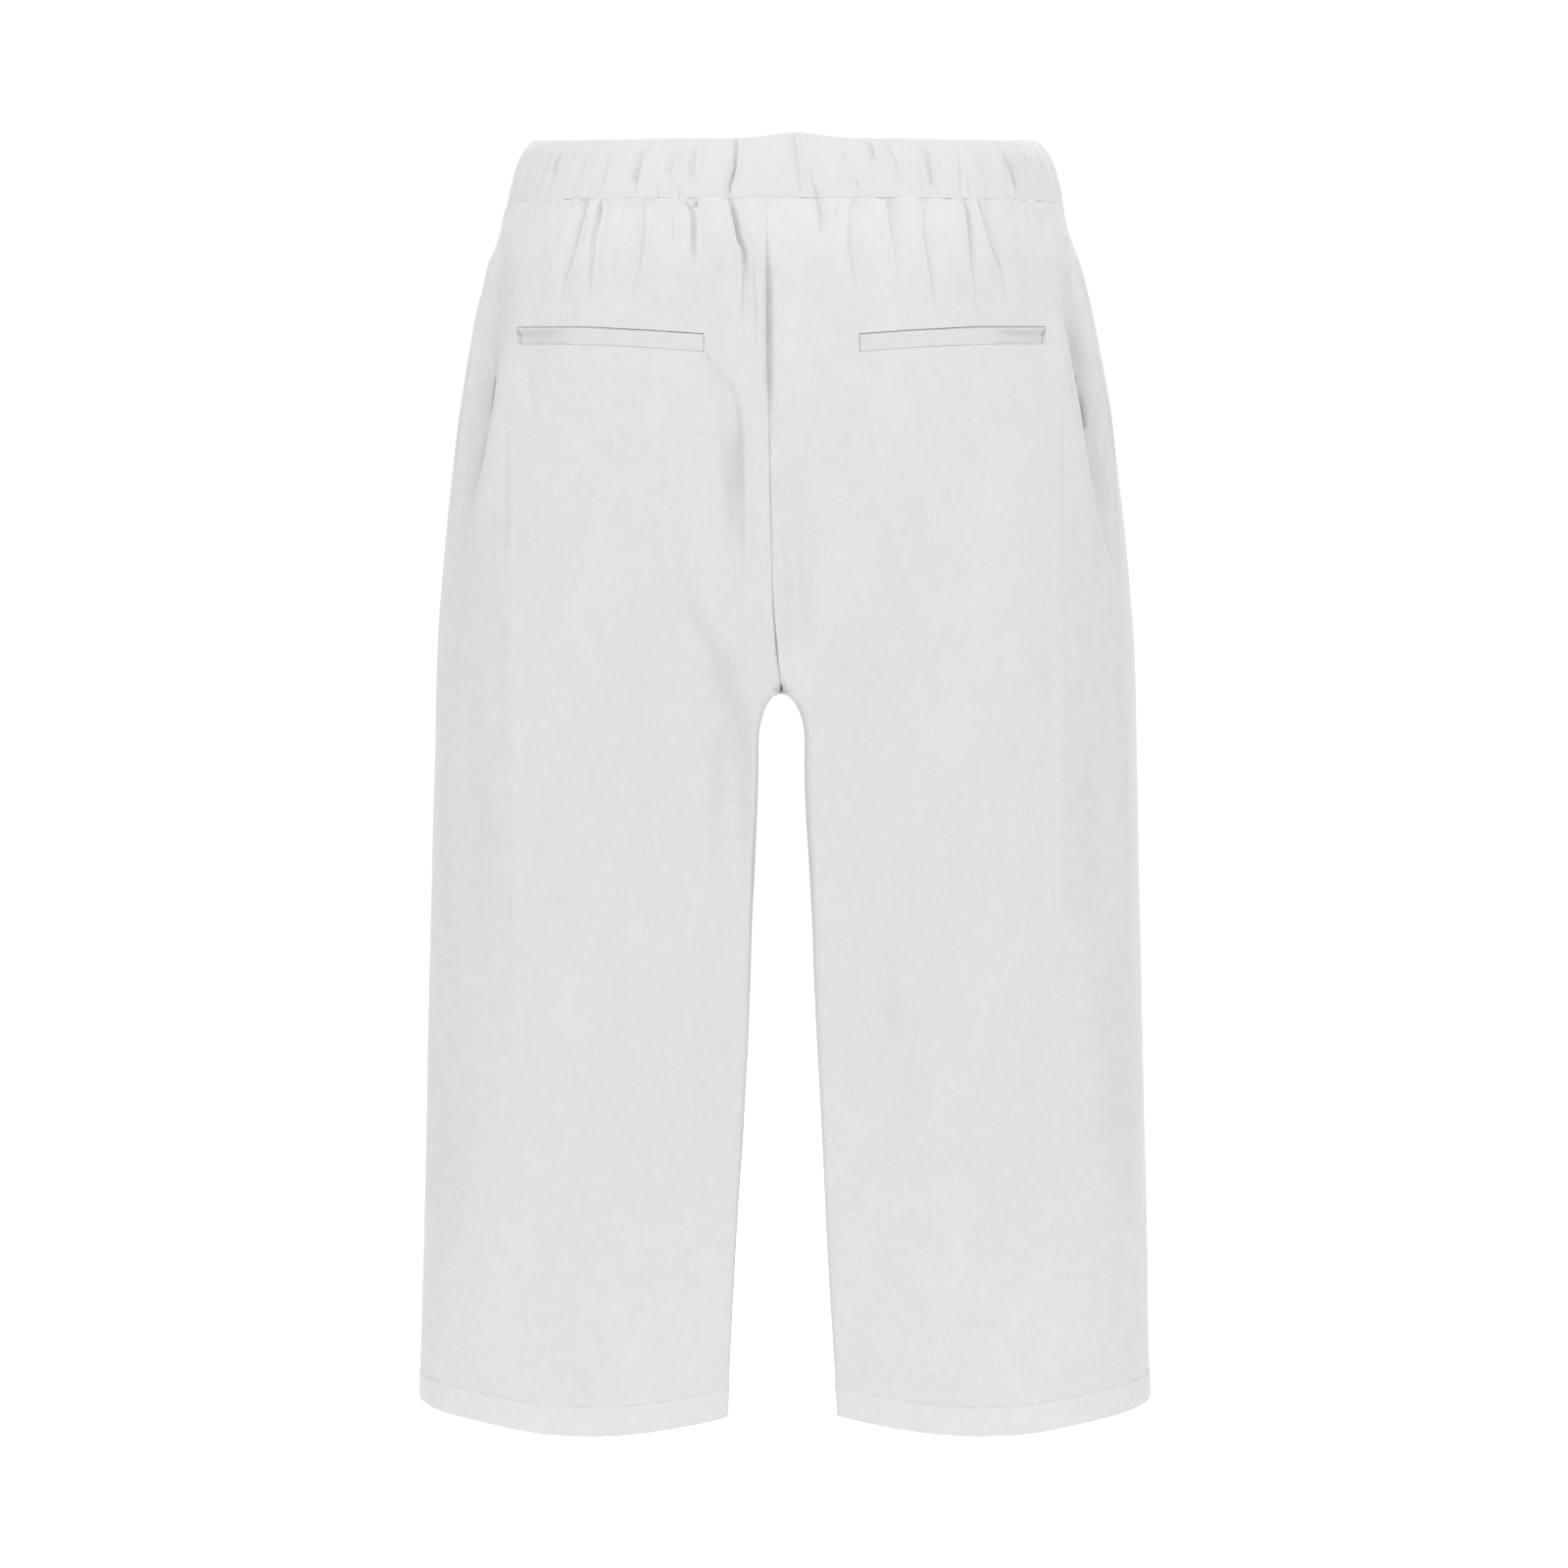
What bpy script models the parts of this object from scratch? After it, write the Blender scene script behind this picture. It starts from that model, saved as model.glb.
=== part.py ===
"""Capri pants with a gathered elastic waist, wide straight legs and two welt pockets at the back.

They are filled out as if worn. The front faces -Y, the back +Y and the wearer's left is +X. The origin is the
centre of the waistband ring at its mid-height. Sizes in the tables are millimetres. "Drop" is the distance below
the origin, so a drop of 19 is the waist seam and a drop of -19 is the top edge of the band.
"""

import bpy
import numpy as np

MM = 0.001
BAND_TOP, WAIST_SEAM, CROTCH, HEM = -19.0, 19.0, 310.5, 742.5  # drops
CLOTH = 1.5  # wall of a panel
HEM_CLOTH = 2.3  # wall where the hem is turned up inside
HEM_DEPTH = 19.0
HEM_RISE = 7.0  # how much higher the hem is at the side seam than at the inseam
HEM_DIP = 3.2  # how much lower it is at the middle of the back
SEAM_GAP = 0.3
SEAT_POWER = 5.0  # how long the seat seam stays straight before it curves under
INNER_SQUARE = {"back": (3.0, 9.0), "front": (2.6, 4.8)}  # as "square" below, at the crotch and in the legs
INNER_TURN = (130.0, 140.0)  # how far above and below the crotch the inner side turns to that
ARCH_HEIGHT = 30.0  # from the crotch down to where the inner legs hang straight

# The half section at each drop. "side" is the half width, "middle" is how far from the centre the section is
# deepest, "gap" is from the centre to the inseam, "back" and "front" are the depths, "bridge" is how far each
# side of the centre seam the cloth spans the hollow between the legs, and "square" is 2 for an oval section.
SECTION_COLUMNS = ("drop", "side", "middle", "gap", "back", "front", "bridge", "square")
SECTIONS = (
    (-19.0, 151.5, 30.0, 13.2, 109.0, 107.0, 24.0, 2.30),
    (-11.0, 156.0, 30.0, 13.2, 111.0, 109.0, 24.0, 2.30),
    (0.0, 160.0, 30.0, 13.2, 112.8, 110.8, 24.0, 2.30),
    (19.0, 165.4, 31.0, 13.2, 114.5, 112.0, 24.0, 2.32),
    (34.0, 169.0, 32.0, 13.2, 116.4, 113.0, 24.0, 2.36),
    (44.0, 173.0, 33.0, 13.2, 117.8, 113.6, 24.0, 2.40),
    (56.0, 178.4, 35.0, 13.2, 119.8, 114.4, 24.0, 2.44),
    (72.0, 182.4, 38.0, 13.2, 122.5, 115.5, 24.0, 2.46),
    (107.0, 190.0, 46.0, 13.2, 128.0, 118.0, 27.0, 2.50),
    (142.0, 196.0, 56.0, 13.2, 132.5, 120.0, 30.0, 2.52),
    (178.0, 200.4, 66.0, 13.2, 135.0, 121.0, 30.0, 2.52),
    (213.0, 204.0, 76.0, 13.2, 135.8, 121.0, 27.0, 2.52),
    (249.0, 206.6, 86.0, 13.2, 135.0, 120.5, 21.0, 2.50),
    (284.0, 208.6, 96.0, 13.2, 132.8, 119.5, 12.5, 2.48),
    (310.5, 209.4, 102.0, 13.2, 130.0, 118.4, 8.0, 2.46),
    (343.0, 210.2, 106.0, 13.4, 126.6, 116.4, 5.5, 2.44),
    (414.0, 212.0, 112.0, 16.0, 119.0, 111.0, 3.0, 2.40),
    (485.0, 213.6, 115.5, 19.5, 112.0, 106.0, 2.0, 2.36),
    (555.0, 215.4, 118.5, 22.8, 106.0, 102.0, 0.5, 2.32),
    (626.0, 217.4, 121.5, 26.2, 101.0, 98.5, 0.5, 2.28),
    (697.0, 218.8, 124.3, 29.9, 98.0, 96.2, 0.5, 2.26),
    (743.0, 219.8, 126.0, 32.4, 96.5, 95.0, 0.5, 2.25),
)

# How far the centre back seam wanders to the wearer's left, by drop.
SEAM_DRIFT = ((-19.0, 11.0), (19.0, 11.0), (132.0, 8.6), (245.0, 7.2), (280.0, 4.6), (310.5, 0.0))

# Folds of the panels: troughs with a low ridge along each side. x is seen from straight behind or in front,
# plus to the wearer's left. "bow" bends the middle of the trough outwards from the centre. "strong" is where
# along it the trough is deepest, from 0 at its upper end to 1 at its lower end.
FOLD_COLUMNS = ("x_top", "drop_top", "x_low", "drop_low", "bow", "depth", "width", "strong")
BACK_FOLDS = (
    # gathers under the band, from the wearer's left side to the right
    (117.0, 19.0, 133.0, 92.0, 2.0, 3.4, 7.0, 0.25),
    (106.0, 19.0, 115.0, 88.0, 0.0, 2.6, 5.5, 0.15),
    (80.5, 19.0, 93.0, 104.0, 2.0, 3.0, 8.0, 0.30),
    (54.0, 19.0, 52.0, 72.0, -3.0, 3.0, 7.0, 0.15),
    (30.5, 19.0, 21.5, 108.0, -2.0, 4.4, 7.5, 0.25),
    (-20.0, 19.0, -22.5, 60.0, 0.0, 2.0, 6.0, 0.10),
    (-38.0, 19.0, -46.5, 92.0, 1.0, 3.0, 7.5, 0.30),
    (-60.5, 19.0, -72.5, 92.0, 1.0, 3.0, 7.5, 0.30),
    (-80.0, 19.0, -91.5, 96.0, 1.0, 3.2, 7.5, 0.30),
    (-105.5, 19.0, -114.5, 90.0, 0.0, 2.6, 5.5, 0.20),
    (-116.0, 19.0, -133.0, 94.0, 2.0, 3.4, 7.0, 0.30),
    # hollows that run down from the hips beside the side seams
    (160.5, 26.0, 202.0, 262.0, -6.0, 6.0, 15.0, 0.42),
    (-160.5, 26.0, -202.0, 256.0, -6.0, 6.0, 15.0, 0.42),
    # drag lines from the pockets and over the seat to the inner thighs
    (48.0, 106.0, 21.0, 236.0, -5.0, 2.6, 10.0, 0.35),
    (-47.0, 112.0, -24.0, 226.0, 4.0, 1.6, 11.0, 0.45),
    (84.0, 212.0, 22.0, 470.0, -14.0, 3.6, 20.0, 0.45),
    (-70.0, 250.0, -24.0, 440.0, -10.0, 2.6, 20.0, 0.55),
    # long soft hollows down the outer and inner legs
    (188.0, 275.0, 184.0, 500.0, 0.0, 4.2, 24.0, 0.45),
    (-188.0, 268.0, -184.0, 505.0, 0.0, 4.4, 24.0, 0.45),
    (50.0, 430.0, 58.0, 640.0, -4.0, 3.0, 24.0, 0.50),
    (-46.0, 400.0, -60.0, 620.0, -4.0, 3.0, 24.0, 0.45),
)
FRONT_FOLDS = (
    (126.0, 19.0, 142.0, 96.0, 2.0, 3.2, 7.5, 0.25),
    (102.0, 19.0, 112.0, 84.0, 1.0, 2.8, 7.0, 0.20),
    (77.0, 19.0, 84.0, 106.0, 2.0, 3.2, 8.0, 0.30),
    (50.0, 19.0, 53.0, 78.0, 0.0, 2.8, 7.0, 0.20),
    (24.5, 19.0, 27.0, 98.0, 1.0, 3.4, 7.5, 0.25),
    (-21.0, 19.0, -22.0, 84.0, 1.0, 2.8, 7.0, 0.20),
    (-44.0, 19.0, -49.0, 102.0, 2.0, 3.4, 8.0, 0.30),
    (-72.0, 19.0, -77.0, 80.0, 0.0, 2.8, 7.0, 0.20),
    (-97.0, 19.0, -106.0, 98.0, 1.0, 3.2, 7.5, 0.30),
    (-124.0, 19.0, -139.0, 90.0, 2.0, 3.0, 7.5, 0.25),
    (159.0, 28.0, 196.0, 236.0, -5.0, 5.0, 15.0, 0.42),
    (-159.0, 28.0, -196.0, 244.0, -5.0, 5.0, 15.0, 0.42),
    (26.0, 180.0, 74.0, 292.0, 6.0, 2.8, 13.0, 0.35),
    (-30.0, 172.0, -82.0, 286.0, 6.0, 3.0, 13.0, 0.40),
    (62.0, 262.0, 24.0, 430.0, -8.0, 2.6, 19.0, 0.50),
    (-56.0, 276.0, -26.0, 450.0, -8.0, 2.8, 19.0, 0.50),
    (187.0, 290.0, 183.0, 520.0, 0.0, 4.0, 24.0, 0.45),
    (-187.0, 300.0, -183.0, 510.0, 0.0, 4.0, 24.0, 0.45),
    (66.0, 420.0, 72.0, 640.0, -4.0, 3.0, 24.0, 0.50),
    (-70.0, 440.0, -64.0, 650.0, 4.0, 3.0, 24.0, 0.50),
)
# The open crease along each centre seam: drop of its ends, depth and width.
SEAM_FOLDS = {"back": (46.0, 150.0, 4.6, 5.0), "front": (30.0, 118.0, 2.4, 6.0)}

# Rows of each panel: the drop at the centre seam or inseam, and the drop at the side seam. They crowd towards the
# crotch. The first rows have every column and the rows under them have half of the columns.
WIDE_ROWS = 10
GATHER_ROWS = tuple((drop, drop) for drop in (19.15, 25.0, 34.0, 47.0, 64.0, 82.0, 95.0, 109.2))
BODY_ROWS = (
    (137.0, 135.0),
    (167.0, 161.0),
    (198.0, 187.0),
    (227.0, 212.0),
    (253.0, 237.0),
    (274.0, 262.0),
    (290.0, 287.0),
    (301.0, 311.0),
    (307.6, 335.0),
    (310.5, 358.0),
)
LEG_ROWS = (
    (311.4, 376.0),
    (314.5, 394.0),
    (320.5, 413.0),
    (330.0, 433.0),
    (345.0, 454.0),
    (367.0, 476.0),
    (396.0, 498.0),
    (430.0, 521.0),
    (468.0, 545.0),
    (508.0, 571.0),
    (549.0, 598.0),
    (590.0, 626.0),
    (630.0, 655.0),
    (668.0, 681.0),
    (702.0, 704.0),
)
HEM_ROWS = ((HEM - HEM_DEPTH, HEM - HEM_DEPTH), (HEM, HEM))
ROW_FAN = 1.6  # how quickly the crowding fades away from the crotch

# Columns between one fold line and the next, from the centre seam to the side seam.
GATHER_COLUMNS = {
    ("back", 1): (4, 4, 4, 4, 4, 6, 6),
    ("back", -1): (4, 4, 4, 4, 4, 2, 4, 6),
    ("front", 1): (4, 4, 4, 4, 4, 6, 6),
    ("front", -1): (4, 4, 4, 4, 4, 6, 6),
}
LOOSE_FROM, LOOSE_TO = 170.0, 300.0  # drops over which the columns leave the fold lines and even out
WALL_FADE, WALL_CROWD = 150.0, 11  # the first columns take up the wall between the legs, less so lower down

# Puckers of the band: girth is the way round from the centre back, plus to the wearer's left.
PUCKER_COLUMNS = ("girth_top", "girth_low", "depth", "width")
BAND_PUCKERS = (
    (-5.0, -10.0, 2.2, 4.5),
    (-14.5, -19.5, 1.6, 4.0),
    (-33.0, -34.0, 1.0, 5.0),
    (-50.0, -53.0, 1.4, 4.5),
    (-61.0, -68.0, 1.8, 4.5),
    (-83.0, -90.5, 2.4, 5.0),
    (-104.0, -108.0, 1.8, 4.5),
    (-119.0, -124.0, 1.0, 5.0),
    (-133.0, -145.0, 2.4, 5.0),
    (-150.0, -158.0, 1.6, 4.5),
    (-172.0, -177.0, 1.8, 5.0),
    (-193.0, -196.0, 1.6, 5.0),
    (-213.0, -215.0, 2.0, 5.0),
    (-233.0, -238.0, 1.6, 5.0),
    (-252.0, -255.0, 2.0, 5.0),
    (-272.0, -268.0, 1.6, 5.0),
    (-291.0, -294.0, 2.2, 5.0),
    (-309.0, -306.0, 1.6, 4.5),
    (-328.0, -331.0, 2.0, 5.0),
    (-350.0, -346.0, 2.2, 5.0),
    (-369.0, -371.0, 1.6, 5.0),
    (-389.0, -392.0, 2.2, 5.0),
    (-409.0, -406.0, 1.8, 5.0),
    (-428.0, -431.0, 2.0, 5.0),
    (27.5, 31.0, 3.2, 5.5),
    (50.5, 55.5, 1.6, 4.5),
    (63.0, 69.0, 1.8, 4.5),
    (84.0, 89.5, 2.6, 5.0),
    (103.5, 111.5, 2.0, 5.0),
    (122.0, 126.0, 1.0, 5.0),
    (137.0, 147.0, 1.8, 4.5),
    (151.0, 159.0, 1.6, 4.5),
    (171.0, 178.0, 2.0, 5.0),
    (192.0, 194.0, 1.6, 5.0),
    (211.0, 215.0, 2.0, 5.0),
    (231.0, 229.0, 1.6, 5.0),
    (249.0, 254.0, 2.2, 5.0),
    (270.0, 272.0, 1.6, 5.0),
    (288.0, 285.0, 2.0, 5.0),
    (308.0, 312.0, 2.2, 5.0),
    (329.0, 327.0, 1.6, 5.0),
    (348.0, 351.0, 2.2, 5.0),
    (368.0, 365.0, 1.8, 5.0),
    (388.0, 391.0, 2.0, 5.0),
    (408.0, 410.0, 1.6, 5.0),
    (427.0, 424.0, 2.2, 5.0),
)
BAND_COLUMNS = 3  # between one pucker and the next
BAND_DIP = 3.4  # how much lower the top edge is across the back
BAND_PEAK, BAND_PEAK_X = 3.4, -6.0  # where a pucker lifts it again
# Half of the band's section, round the elastic: how far out of the seam line, drop, and share of the puckers.
BAND_SECTION = (
    (0.0, 18.85, 0.5),
    (1.2, 11.0, 0.9),
    (1.7, 0.0, 1.0),
    (1.2, -10.0, 0.9),
    (-0.2, -16.8, 0.6),
    (-1.5, -19.0, 0.3),
    (-2.7, -16.8, 0.2),
    (-3.2, 0.0, 0.2),
    (-2.4, 18.85, 0.2),
)

# Welts of the back pockets: the upper line from the inner to the outer end, and the height of the strip.
WELT_ENDS = (47.5, 156.0)  # distance from the centre
WELT_TOP = ((0.0, 100.2), (0.35, 97.0), (0.7, 95.6), (1.0, 96.2))  # share of its length, drop
WELT_HEIGHT = 8.4
WELT_LIFT, WELT_CLOTH = 0.35, 1.2

CLOTH_COLOUR = (0.76, 0.76, 0.757, 1.0)


def smooth(t):
    t = np.clip(t, 0.0, 1.0)
    return t * t * (3.0 - 2.0 * t)


def along(at, places, values):
    """A smooth curve through the rows of a table, with no overshoot."""
    places, values = np.asarray(places, float), np.asarray(values, float)
    step = np.diff(places)
    slope = np.diff(values) / step
    both = slope[:-1] * slope[1:]
    tangent = np.concatenate([slope[:1], np.zeros(len(both)), slope[-1:]])
    tangent[1:-1] = np.where(both > 0, 2.0 * both / np.where(both > 0, slope[:-1] + slope[1:], 1.0), 0.0)
    k = np.clip(np.searchsorted(places, at) - 1, 0, len(step) - 1)
    t = np.clip((at - places[k]) / step[k], 0.0, 1.0)
    return (
        (1 + 2 * t) * (1 - t) ** 2 * values[k]
        + t * (1 - t) ** 2 * step[k] * tangent[k]
        + t * t * (3 - 2 * t) * values[k + 1]
        - t * t * (1 - t) * step[k] * tangent[k + 1]
    )


def column_of(table, names, name):
    return np.array([row[names.index(name)] for row in table])


def sizes_at(drop):
    drops = column_of(SECTIONS, SECTION_COLUMNS, "drop")
    return {
        name: float(along(drop, drops, column_of(SECTIONS, SECTION_COLUMNS, name)))
        for name in SECTION_COLUMNS[1:]
    }


def section(drop, face):
    """Points of a quarter section, from the centre seam or the inseam round to the side seam, seen from above."""
    size = sizes_at(drop)
    depth, power, bridge = size[face], size["square"], size["bridge"]
    middle, side = size["middle"], size["side"]
    at_crotch, in_leg = INNER_SQUARE[face]
    oval = at_crotch + (power - at_crotch) * smooth((CROTCH - drop) / INNER_TURN[0])
    oval += (in_leg - at_crotch) * smooth((drop - CROTCH) / INNER_TURN[1])
    if drop < CROTCH:
        fall = max(drop - WAIST_SEAM, 0.0) / (CROTCH - WAIST_SEAM)
        seat = min((1.0 - fall**SEAT_POWER) ** 0.5, 0.9995)
        reach = (middle - bridge) / (1.0 - seat**oval) ** (1.0 / oval)
        last = np.arcsin(((middle - bridge) / reach) ** (oval / 2.0))
    else:
        arch = np.sqrt(1.0 - (1.0 - min((drop - CROTCH) / ARCH_HEIGHT, 1.0)) ** 2)
        reach = middle - np.hypot(size["gap"] * arch, bridge)
        last = np.pi / 2.0
    inner = last * (1.0 - np.linspace(0.0, 1.0, 260) ** 1.5)
    outer = np.pi / 2.0 * np.linspace(0.0, 1.0, 261)[1:]
    x_in = middle - reach * np.sin(inner) ** (2.0 / oval)
    spanned = 1.0 - (x_in - bridge) / (middle - bridge)
    x_in = x_in - (x_in - np.sqrt(np.maximum(x_in**2 - bridge**2, 0.0))) * np.clip(spanned, 0.0, 1.0)
    x_out = middle + (side - middle) * np.sin(outer) ** (2.0 / power)
    x = np.concatenate([x_in, x_out])
    y_in = depth * np.cos(inner) ** (2.0 / oval)
    y = np.concatenate([y_in, depth * np.maximum(np.cos(outer), 0.0) ** (2.0 / power)])
    return x, y, side


def drift_at(drop, x, side):
    places, values = zip(*SEAM_DRIFT)
    shift = float(along(min(drop, CROTCH), places, values))
    return shift * (1.0 - np.minimum(np.abs(x) / side, 1.0) ** 2) ** 2


def fold_line(fold, drop):
    """x of a fold at a drop, carried on straight past its ends, and how strong the fold is there."""
    f = dict(zip(FOLD_COLUMNS, fold))
    t = (drop - f["drop_top"]) / (f["drop_low"] - f["drop_top"])
    inside = np.clip(t, 0.0, 1.0)
    x = f["x_top"] + (f["x_low"] - f["x_top"]) * np.clip(t, 0.0, 1.25)
    x = x + np.sign(f["x_top"]) * f["bow"] * 4.0 * inside * (1.0 - inside)
    start = 0.55 if f["drop_top"] <= WAIST_SEAM else 0.0
    rise = start + (1.0 - start) * smooth(t / f["strong"])
    fade = 1.0 - smooth((t - f["strong"]) / (1.0 - f["strong"]))
    return x, f["depth"] * np.where((t < 0.0) | (t > 1.0), 0.0, rise * fade), f["width"]


def trough(distance, width):
    """A trough with a low ridge along each side."""
    q2 = (distance / width) ** 2
    return -(1.0 - 1.7 * q2) * np.exp(-q2)


def panel_row(face, hand, drop, columns):
    """One row of a panel's outer points, from the centre to the side seam, with the folds in it."""
    x, y, side = section(drop, face)
    if face == "back":
        x = x + hand * drift_at(drop, x, side)
    way = np.concatenate([[0.0], np.cumsum(np.hypot(np.diff(x), np.diff(y)))])
    length = way[-1]
    folds = [f for f in (BACK_FOLDS if face == "back" else FRONT_FOLDS) if np.sign(f[0]) == hand]
    gathers = sorted((f for f in folds if f[1] <= WAIST_SEAM + 10.0), key=lambda f: abs(f[0]))
    lines = [0.0] + [float(np.interp(abs(fold_line(f, drop)[0]), x, way)) for f in gathers] + [length]
    counts = GATHER_COLUMNS[face, hand]
    knots = np.concatenate([[0], np.cumsum(counts)])
    even = np.arange(knots[-1] + 1) / knots[-1]
    held = np.interp(np.arange(knots[-1] + 1), knots, np.array(lines) / length)
    loose = smooth((drop - LOOSE_FROM) / (LOOSE_TO - LOOSE_FROM))
    wall = (sizes_at(drop)[face] - y[0]) * np.exp(-max(drop - CROTCH, 0.0) / WALL_FADE)
    spread = even * (length - wall) + wall * (1.0 - (1.0 - even) ** WALL_CROWD)
    place = (1.0 - loose) * held * length + loose * spread
    if columns < knots[-1]:
        place = place[:: knots[-1] // columns]
    out = np.zeros(len(place))
    for f in folds:
        at, depth, width = fold_line(f, drop)
        if depth > 0.0:
            out += depth * trough(place - np.interp(abs(at), x, way), width)
    top, low, depth, width = SEAM_FOLDS[face]
    if top < drop < low:
        out += depth * np.sin(np.pi * (drop - top) / (low - top)) ** 0.8 * trough(place, width)
    px, py = np.interp(place, way, x), np.interp(place, way, y)
    ahead, behind = np.minimum(place + 1.0, length), np.maximum(place - 1.0, 0.0)
    tx = np.interp(ahead, way, x) - np.interp(behind, way, x)
    ty = np.interp(ahead, way, y) - np.interp(behind, way, y)
    tx[0], ty[0] = (1.0, 0.0) if drop < CROTCH else (0.0, 1.0)
    tx[-1], ty[-1] = 0.0, -1.0
    size = np.hypot(tx, ty)
    px, py = px - out * ty / size, py + out * tx / size
    low = smooth((drop - 560.0) / 180.0)
    z = -drop + low * HEM_RISE * (np.abs(px) - 126.0) / 187.0
    if face == "back":
        z = z - low * HEM_DIP * smooth(py / sizes_at(drop)[face]) ** 2.5
    return np.stack([hand * px, py if face == "back" else -py, np.broadcast_to(z, px.shape)], axis=-1)


def unit(v):
    return v / np.maximum(np.linalg.norm(v, axis=-1, keepdims=True), 1e-9)


PANELS = {
    "back_left": ("back", 1),
    "back_right": ("back", -1),
    "front_left": ("front", 1),
    "front_right": ("front", -1),
}
ALL_ROWS = GATHER_ROWS + BODY_ROWS + LEG_ROWS + HEM_ROWS
WIDE = sum(GATHER_COLUMNS["back", 1])
# The drops at which the surface is worked out, close together near the crotch.
NEAR = 0.05 * np.arange(1, 25) ** 2
ABOVE, BELOW = np.arange(19.15, CROTCH - 29.0, 2.5), np.arange(CROTCH + 31.0, HEM, 4.0)
DROPS = np.unique(np.concatenate([ABOVE, CROTCH - NEAR, [CROTCH], CROTCH + NEAR, BELOW, [HEM]]))


def panel_surface():
    """The outer side of the four panels at every drop, and the directions out of it, alike at each seam."""
    points = {
        name: np.array([panel_row(face, hand, drop, WIDE) for drop in DROPS])
        for name, (face, hand) in PANELS.items()
    }
    outward = {}
    for name, (face, hand) in PANELS.items():
        grid = points[name]
        turn = hand * (1.0 if face == "back" else -1.0)
        outward[name] = unit(np.cross(np.gradient(grid, axis=1), np.gradient(grid, axis=0))) * turn
        outward[name][[0, -1], :, 2] = 0.0
        outward[name] = unit(outward[name])
    fork = int(np.searchsorted(DROPS, CROTCH))

    def share(a, b, rows, column):
        mean = unit(outward[a][rows, column] + outward[b][rows, column])
        outward[a][rows, column] = outward[b][rows, column] = mean

    share("back_left", "back_right", slice(None, fork), 0)
    share("front_left", "front_right", slice(None, fork), 0)
    for hand in ("left", "right"):
        share("back_" + hand, "front_" + hand, slice(None), -1)
        share("back_" + hand, "front_" + hand, slice(fork + 1, None), 0)
    for name, (face, hand) in PANELS.items():
        outward[name][fork, 0] = (0.0, 0.0, -1.0)
        grid = points[name]
        for column, step in ((0, 1), (-1, -2)):
            seam = unit(np.gradient(grid[:, column], axis=0))
            inward = unit(np.cross(outward[name][:, column], seam))
            inward *= np.sign(np.sum(inward * (grid[:, step] - grid[:, column]), axis=1))[:, None]
            if column == 0:
                inward[fork] = (hand, 1.0 if face == "back" else -1.0, 0.0)
            grid[:, column] += inward * SEAM_GAP / 2.0
    return points, outward


def at_rows(surface, rows):
    """The surface at the fanned rows of a panel."""
    columns = surface.shape[1]
    share = (1.0 - np.linspace(0.0, 1.0, columns)) ** ROW_FAN
    found = np.empty((len(rows), columns, 3))
    for j in range(columns):
        drops = [side + (centre - side) * share[j] for centre, side in rows]
        for axis in range(3):
            found[:, j, axis] = np.interp(drops, DROPS, surface[:, j, axis])
    return found


def panel_points():
    points, outward = panel_surface()
    points = {name: at_rows(grid, ALL_ROWS) for name, grid in points.items()}
    outward = {name: unit(at_rows(grid, ALL_ROWS)) for name, grid in outward.items()}
    return points, outward


def add_object(name, verts, faces, collection, material, smooth_faces=True):
    mesh = bpy.data.meshes.new(name)
    mesh.from_pydata([tuple(float(c) * MM for c in v) for v in verts], [], faces)
    mesh.update()
    if smooth_faces:
        mesh.shade_smooth()
        mesh.set_sharp_from_angle(angle=0.9)
    thing = bpy.data.objects.new(name, mesh)
    thing.data.materials.append(material)
    collection.objects.link(thing)
    return thing


def strip(upper, lower):
    """Faces between two rows of points, where the lower row may have half as many columns."""
    if len(upper) == len(lower):
        return [(upper[j], upper[j + 1], lower[j + 1], lower[j]) for j in range(len(upper) - 1)]
    faces = []
    for j in range(len(lower) - 1):
        a, b, c = upper[2 * j : 2 * j + 3]
        d, e = lower[j : j + 2]
        faces += [(a, b, d), (b, e, d), (b, c, e)]
    return faces


def panel_wall(points, outward, mirrored):
    """A closed wall: the outer points, the same moved in by the cloth's thickness, and its four edges."""
    verts, outer, inner = [], [], []
    for i, (drop, _) in enumerate(ALL_ROWS):
        pick = slice(None) if i < WIDE_ROWS else slice(None, None, 2)
        thick = HEM_CLOTH if drop >= HEM - HEM_DEPTH else CLOTH
        for layer, at in ((outer, points[i, pick]), (inner, (points[i] - thick * outward[i])[pick])):
            layer.append(list(range(len(verts), len(verts) + len(at))))
            verts += list(at)
    faces = []
    for i in range(len(ALL_ROWS) - 1):
        faces += strip(outer[i], outer[i + 1])
        faces += [f[::-1] for f in strip(inner[i], inner[i + 1])]
        faces.append((outer[i][0], outer[i + 1][0], inner[i + 1][0], inner[i][0]))
        faces.append((inner[i][-1], inner[i + 1][-1], outer[i + 1][-1], outer[i][-1]))
    faces += strip(inner[0], outer[0])
    faces += strip(outer[-1], inner[-1])
    return verts, [f[::-1] for f in faces] if mirrored else faces


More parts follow.
